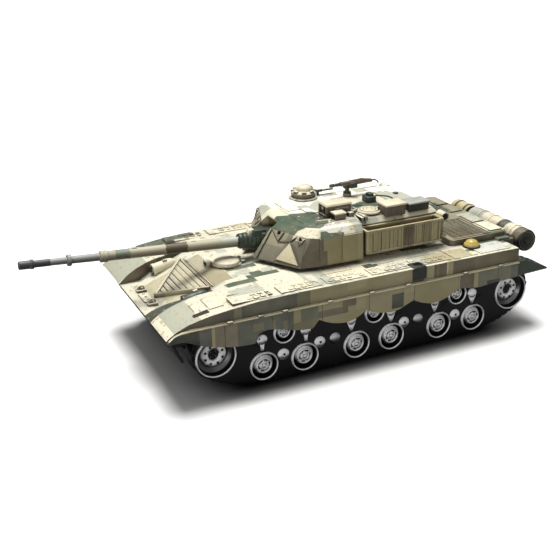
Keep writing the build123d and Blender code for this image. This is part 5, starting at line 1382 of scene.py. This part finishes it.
def cupola():
    part = Part(CUPOLA_CAMO, CREAM_PAINT, RECESS)
    x, y = 5.5, -25.5
    part.lathe([(0, 86.4), (8.9, 86.4), (8.9, 87.2), (8, 87.8), (7.9, 89), (8.6, 89.3),
                (8.9, 89.8), (8.9, 91), (8.5, 91.7), (7.4, 92.3), (6.2, 92.5), (0, 92.5)],
               "z", (x, y), 48)
    part.use(CREAM_PAINT)
    part.lathe([(0, 92.2), (5.8, 92.2), (5.8, 93.4), (5.5, 94.4), (4.6, 95.2), (3, 95.8),
                (1.2, 96.1), (0, 96.1)], "z", (x - 0.6, y), 40)
    for angle in spokes(8, 22.5):
        turned = (Matrix.Translation((x + 7.6 * cos(angle), y + 7.6 * sin(angle), 91.3))
                  @ Matrix.Rotation(angle, 4, "Z"))
        part.use(CUPOLA_CAMO)
        part.box(-1.1, 1.2, -1.6, 1.6, -1, 1.7, 0.25, turned)
        # vision slit in dark painted shade
        part.use(RECESS)
        part.box(1, 1.3, -0.8, 0.8, 0, 0.9, 0.08, turned, 1)
    part.use(CUPOLA_CAMO)
    part.rod((x - 24, y - 1, 89.9), (x - 7.6, y - 1, 89.9), 0.95, 14, 0.2)
    part.rod((x - 12, y - 1, 86.4), (x - 12, y - 1, 90.4), 1, 14, 0.2)
    part.box(x - 15, x - 9, y - 2.2, y + 0.2, 88.8, 91, 0.3)
    part.tube([(x - 5, y + 3, 92.6), (x - 5.2, y + 3.2, 95.2), (x - 5.2, y - 3.2, 95.2),
               (x - 5, y - 3, 92.6)], 0.35, 8)
    part.make("cupola", "turret", "commander_cupola")


def hatch_rings():
    """Loader's hatch with pressed rings."""
    part = Part(CREAM_PAINT, BROWN_PAINT, DETAIL_CAMO)
    centre = (-20.6, 21.8)
    part.lathe([(0, 86.3), (7.9, 86.3), (7.9, 87.1), (7.5, 87.5), (6.9, 87.5), (6.6, 87.1),
                (6.2, 87.1), (5.9, 87.9), (5.5, 88.2), (4.9, 88.2), (4.6, 87.8), (4, 87.8),
                (3.7, 88.2), (3.3, 88.4), (2.6, 88.4), (2.3, 88), (1.7, 88), (1.4, 88.35),
                (0, 88.45)], "z", centre, 56)
    part.use(BROWN_PAINT)
    for radius, top in ((6.4, 87.2), (4.3, 87.9), (2, 88.1)):
        part.ring([(radius + 0.16, 86.6), (radius + 0.16, top), (radius - 0.16, top),
                   (radius - 0.16, 86.6)], "z", centre, 48)
    part.use(DETAIL_CAMO)
    part.box(-29.6, -26.6, 19.6, 24, 86.3, 88, 0.3)
    part.make("hatch_rings", "turret", "loader_hatch")


def basket_rails():
    """Rails, ribs and rolled kit of a stowage basket."""
    part = Part(BASKET_CAMO, KIT, SHADE_FILL)
    for k in range(10):
        x = -9.4 - k * 6
        part.box(x - 0.55, x + 0.55, 43.4, 44.35, 65.2, 79.3)
    part.boxes((-66.2, -5.8, 43.2, 44.5, 79.5, 81, 0.35), (-6.9, -5.5, 33.6, 44.4, 79.5, 81, 0.35),
               (-66.4, -65, 33.6, 43.4, 79.5, 81, 0.35), (-64, -8, 33.5, 34.9, 79.2, 80.7, 0.3),
               (-65.4, -6.4, 43.3, 44.3, 64.5, 65.9, 0.3))
    part.use(KIT)
    for x0, x1, y1, z1 in ((-22, -9, 41.6, 74), (-36, -23.4, 41.8, 71.4),
                           (-50.6, -40, 41.8, 75.2), (-63.4, -52, 41.6, 72.6)):
        part.box(x0, x1, 35.4, y1, 66, z1, 0.9, None, 3)
    part.use(BASKET_CAMO)
    part.tube([(-67, 34.8, 66.6), (-70.6, 34.8, 66.8), (-71.2, 35.6, 68.4), (-71.2, 35.6, 78)],
              0.5)
    part.lathe([(0, 33.8), (3, 33.8), (3.2, 34.2), (3.2, 41.2), (3, 41.6), (2.4, 41.7),
                (2.2, 41.3), (0, 41.3)], "y", (-69.2, 80.4), 28)
    # open end of the tube in black painted shade
    part.use(SHADE_FILL)
    part.lathe([(0, 41), (2.25, 41), (2.25, 41.45), (0, 41.5)], "y", (-69.2, 80.4), 24)
    part.make_pair("basket_rails", "turret")


def bustle_rack():
    part = Part(DETAIL_CAMO, DARK_PAINT)
    part.box(-71.4, -69.8, -24, 24, 68, 69.4, 0.3)
    part.box(-71.4, -69.8, -24, 24, 76, 77.4, 0.3)
    for y in (-20, -7, 7, 20):
        part.box(-72, -70, y - 0.8, y + 0.8, 67.2, 78.4, 0.3)
    part.use(DARK_PAINT)
    part.box(-73.6, -71.6, -14, 4, 69, 76.4, 0.5)
    part.rod((-60, -8, 84.2), (-60, -8, 86), 2, 24, 0.4)
    part.make("bustle_rack", "turret")


def roof_gun():
    part = Part(GUN_BROWN, DARK_PAINT)
    x, y, z = -24, -15, 95.6
    part.use(DARK_PAINT)
    part.rod((x, y, 85.2), (x, y, 93.2), 1.45, 20, 0.2)
    part.rod((x, y, 88.7), (x, y, 89.9), 2.7, 24, 0.3)
    part.box(x - 2.6, x + 2.6, y - 1.8, y + 1.8, 92.2, 94.7, 0.35)
    part.use(GUN_BROWN)
    part.box(x - 13, x + 5.8, y - 1.6, y + 1.6, 94.3, 97.1, 0.45)
    part.block((x - 20, y - 1.5, y + 1.5, 94.6), (x - 12, y - 1.6, y + 1.6, 94.4),
               (x - 20, y - 1.4, y + 1.4, 96.6), (x - 12, y - 1.6, y + 1.6, 97.8), 0.4)
    part.block((x - 12.4, y - 1.2, y + 1.2, 96.8), (x + 1, y - 1.2, y + 1.2, 96.8),
               (x - 12.4, y - 1, y + 1, 98), (x - 2, y - 1, y + 1, 97.6), 0.25)
    part.use(DARK_PAINT)
    part.rod((x + 5.4, y, z), (x + 11.6, y, z), 0.8, 16, 0.1)
    part.rod((x + 10.4, y, z), (x + 14, y, z), 1.35, 16, 0.3)
    for k in range(3):
        start, end = x + 6.2 + k * 1.3, x + 6.7 + k * 1.3
        part.ring([(1.3, start), (1.3, end), (0.7, end), (0.7, start)], "x", (y, z), 20)
    part.tube([(x - 19.6, y, 95.9), (x - 22.6, y, 95.6), (x - 24.6, y, 94.4),
               (x - 25.6, y, 93)], 0.55)
    part.box(x - 6, x - 0.6, y + 1.5, y + 4.6, 92.8, 96.6, 0.35)
    part.make("roof_gun", "top_machine_gun", "machine_gun")


# ---- main gun --------------------------------------------------------------
GUN_TILT = (Matrix.Translation((GUN_X, 0, GUN_Z))
            @ Matrix.Rotation(radians(-GUN_RISE), 4, "Y"))
MUZZLE = 167.6
# gun tube from its root to inside the bore: radius, distance from the pivot
GUN_TUBE = (
    (0, 18.5), (3.9, 18.5), (3.9, 27), (3.75, 27.6), (3.6, 28.2), (3.5, 39), (3.65, 39.2),
    (3.65, 40.4), (3.5, 40.6), (3.4, 61.4), (3.6, 61.6), (3.6, 62.8), (3.4, 63), (3.3, 76.6),
    (3.5, 76.8), (3.5, 78), (3.3, 78.2), (3.2, 99.4), (3.35, 99.6), (3.35, 100.6),
    (3.2, 100.8), (3.15, 113.6), (3.3, 114), (3.75, 114.4), (3.75, 116.2), (3.55, 116.4),
    (3.55, 116.8), (3.75, 117), (3.75, 118.5), (3.3, 118.9), (2.5, 119.2), (2.35, 136.2),
    (3.4, 136.5), (3.6, 136.8), (3.6, 138.6), (3.4, 138.9), (2.15, 139.2), (2.1, 148.8),
    (2.25, 149), (2.2, 158.6), (2.9, 158.9), (3, 159.2), (3, 160.4), (2.6, 160.8),
    (2.6, MUZZLE - 1.2), (2.5, MUZZLE - 0.3), (2.3, MUZZLE), (1.55, MUZZLE),
    (1.4, MUZZLE - 0.3), (1.35, MUZZLE - 9), (0, MUZZLE - 9))


def mantlet_boot():
    part = Part(SLEEVE, CREAM_PAINT)
    part.lathe([(0, -7.3), (6, -7.3), (6.35, -6.9), (6.35, 6.9), (6, 7.3), (0, 7.3)],
               "y", (0, 0), 40, GUN_TILT)
    part.lathe([(0, -10.9), (1.9, -10.9), (2, -10.6), (2, 10.6), (1.9, 10.9), (0, 10.9)],
               "y", (0, 0), 24, GUN_TILT)
    part.box(1, 12.2, -7, 7, -5.8, 5.9, 0.7, GUN_TILT, 3)
    part.block((10, -5.6, 5.6, 2.6), (18.5, -4.4, 4.4, 3.4), (8, -5.2, 5.2, 8),
               (17.2, -4, 4, 7.6), 0.5, GUN_TILT)
    for k in range(5):
        x, radius = 12.4 + k * 2.9, 6.2 - k * 0.28
        part.lathe([(0, x - 0.5), (radius - 0.4, x - 0.5), (radius, x + 0.2),
                    (radius + 0.1, x + 1.4), (radius - 0.2, x + 2.4), (radius - 0.7, x + 2.75),
                    (0, x + 2.75)], "x", (0, 0), 40, GUN_TILT)
    part.use(CREAM_PAINT)
    part.block((16.6, -2.6, 2.6, 5.4), (20.8, -2.3, 2.3, 4.6), (16.4, -2.4, 2.4, 8.1),
               (19.6, -2, 2, 7.3), 0.35, GUN_TILT)
    part.make("mantlet_boot", "gun", "gun_mantlet")


def barrel_tube():
    part = Part(BARREL, SHADE_FILL)
    part.lathe(GUN_TUBE, "x", (0, 0), 48, GUN_TILT)
    # bore in black painted shade
    part.use(SHADE_FILL)
    part.lathe([(0, MUZZLE - 9.2), (1.36, MUZZLE - 9.2), (1.36, MUZZLE - 8.8),
                (0, MUZZLE - 8.8)], "x", (0, 0), 20, GUN_TILT)
    part.use(BARREL)
    for x, top in ((58, 3.7), (97, 3.7), (116, 3)):
        part.box(x - 1.5, x + 1.5, -0.9, 0.9, 2, top, 0.2, GUN_TILT)
    part.make("barrel_tube", "gun", "gun_barrel")


# ---- floor, world, lights and camera, in metres ----------------------------
def floor_material():
    mat = Material("floor_white")
    tone = mat.noise(mat.place, scale=0.004, detail=3)
    colour = mat.mix(mat.remap(tone, (0.3, 0.7)), (0.90, 0.90, 0.90, 1), (0.93, 0.93, 0.93, 1))
    # the floor throws little light back up at the model
    path = mat.node("ShaderNodeLightPath")
    colour = mat.mix(path.outputs["Is Camera Ray"], (0.26, 0.26, 0.26, 1), colour)
    # soft contact shadow round a rectangle of this half length and half width
    place = mat.axes(mat.place)
    beyond = []
    for coordinate, half in ((place[0], 84), (place[1], 60)):
        reach = mat.number("SUBTRACT", mat.number("ABSOLUTE", coordinate), half)
        beyond.append(mat.number("MAXIMUM", reach, 0))
    along, across = [mat.number("MULTIPLY", reach, reach) for reach in beyond]
    distance = mat.number("ADD", mat.number("MULTIPLY", along, 0.3), across)
    distance = mat.number("SQRT", distance)
    colour = mat.mix(mat.remap(distance, (2, 30), kind="SMOOTHSTEP"),
                     (0.010, 0.010, 0.011, 1), colour)
    return mat.finish(colour, rough=0.6, spec=0.1)


def floor(size=14, count=24):
    mesh = bpy.data.meshes.new("floor")
    bm = bmesh.new()
    rows = [[bm.verts.new(((i / count - 0.5) * size, (j / count - 0.5) * size, 0))
             for i in range(count + 1)] for j in range(count + 1)]
    for j in range(count):
        for i in range(count):
            bm.faces.new((rows[j][i], rows[j][i + 1], rows[j + 1][i + 1], rows[j + 1][i]))
    bm.to_mesh(mesh)
    bm.free()
    thing = add_object("floor", mesh)
    mesh.materials.append(floor_material())


def studio_world():
    """Soft light from above; the camera itself sees plain white."""
    world = bpy.data.worlds.new("studio")
    bpy.context.scene.world = world
    world.use_nodes = True
    nodes = Nodes(world.node_tree)
    nodes.tree.nodes.clear()
    output = nodes.node("ShaderNodeOutputWorld")
    coords = nodes.node("ShaderNodeTexCoord")
    sky = nodes.ramp(nodes.axes(coords.outputs["Generated"])[2],
                     [(0, (0.10, 0.10, 0.105, 1)), (0.75, (1, 1, 1, 1))], "LINEAR")
    lit = nodes.node("ShaderNodeBackground", sky, 0.25)
    seen = nodes.node("ShaderNodeBackground", (1, 1, 1, 1), 1)
    path = nodes.node("ShaderNodeLightPath")
    mixed = nodes.node("ShaderNodeMixShader", path.outputs["Is Camera Ray"], lit.outputs[0],
                       seen.outputs[0])
    nodes.feed(output.inputs[0], mixed.outputs[0])


def light(name, kind, direction, location=(0, 0, 0), **settings):
    data = bpy.data.lights.new(name, kind)
    for key, value in settings.items():
        setattr(data, key, value)
    lamp = add_object(name, data)
    lamp.location = location
    lamp.rotation_mode = "QUATERNION"
    lamp.rotation_quaternion = Vector(direction).to_track_quat("-Z", "Y")


def lights():
    light("key", "SUN", (0.06, 0.23, -1), energy=4.5, angle=radians(28),
          color=(1, 0.99, 0.965))
    light("fill", "SUN", (-0.80, -0.60, -0.11), energy=0.95, angle=radians(14),
          color=(1, 0.99, 0.97))
    strip = Vector((0.067, 0.85, 0.55))
    target = Vector((-0.033, 0, 0.03))
    light("strip", "AREA", target - strip, strip, shape="RECTANGLE", size=0.8, size_y=0.25,
          energy=0.6)


def camera():
    right = Vector((-0.8933, 0.4494, -0.0063))
    up = Vector((-0.1639, -0.3125, 0.9357))
    forward = Vector((-0.4185, -0.8369, -0.3528))
    data = bpy.data.cameras.new("camera")
    data.sensor_width = 36
    data.lens = 59.6105415
    data.shift_x = -0.054277978
    data.shift_y = -0.042454874
    data.clip_start = 0.01
    data.clip_end = 60
    thing = add_object("camera", data)
    pose = Matrix((right, up, -forward)).transposed().to_4x4()
    pose.translation = Vector((0.247653, 0.53058, 0.27832))
    thing.matrix_world = pose
    bpy.context.scene.camera = thing
    bpy.context.scene.view_settings.view_transform = "Standard"


paint_cad()
for build in (wheel_set, plated_caps, tread_relief, splash_board, driver_hatch, tow_hooks,
              lamp_shells, fender_fittings, drum_fittings, deck_grilles, tail_fittings,
              mudflap_ribs, filler_cap, cheek_armour, turret_side_panels, roof_fittings,
              sight_box, roof_stowage, cupola, hatch_rings, basket_rails, bustle_rack,
              roof_gun, mantlet_boot, barrel_tube, floor, studio_world, lights, camera):
    build()
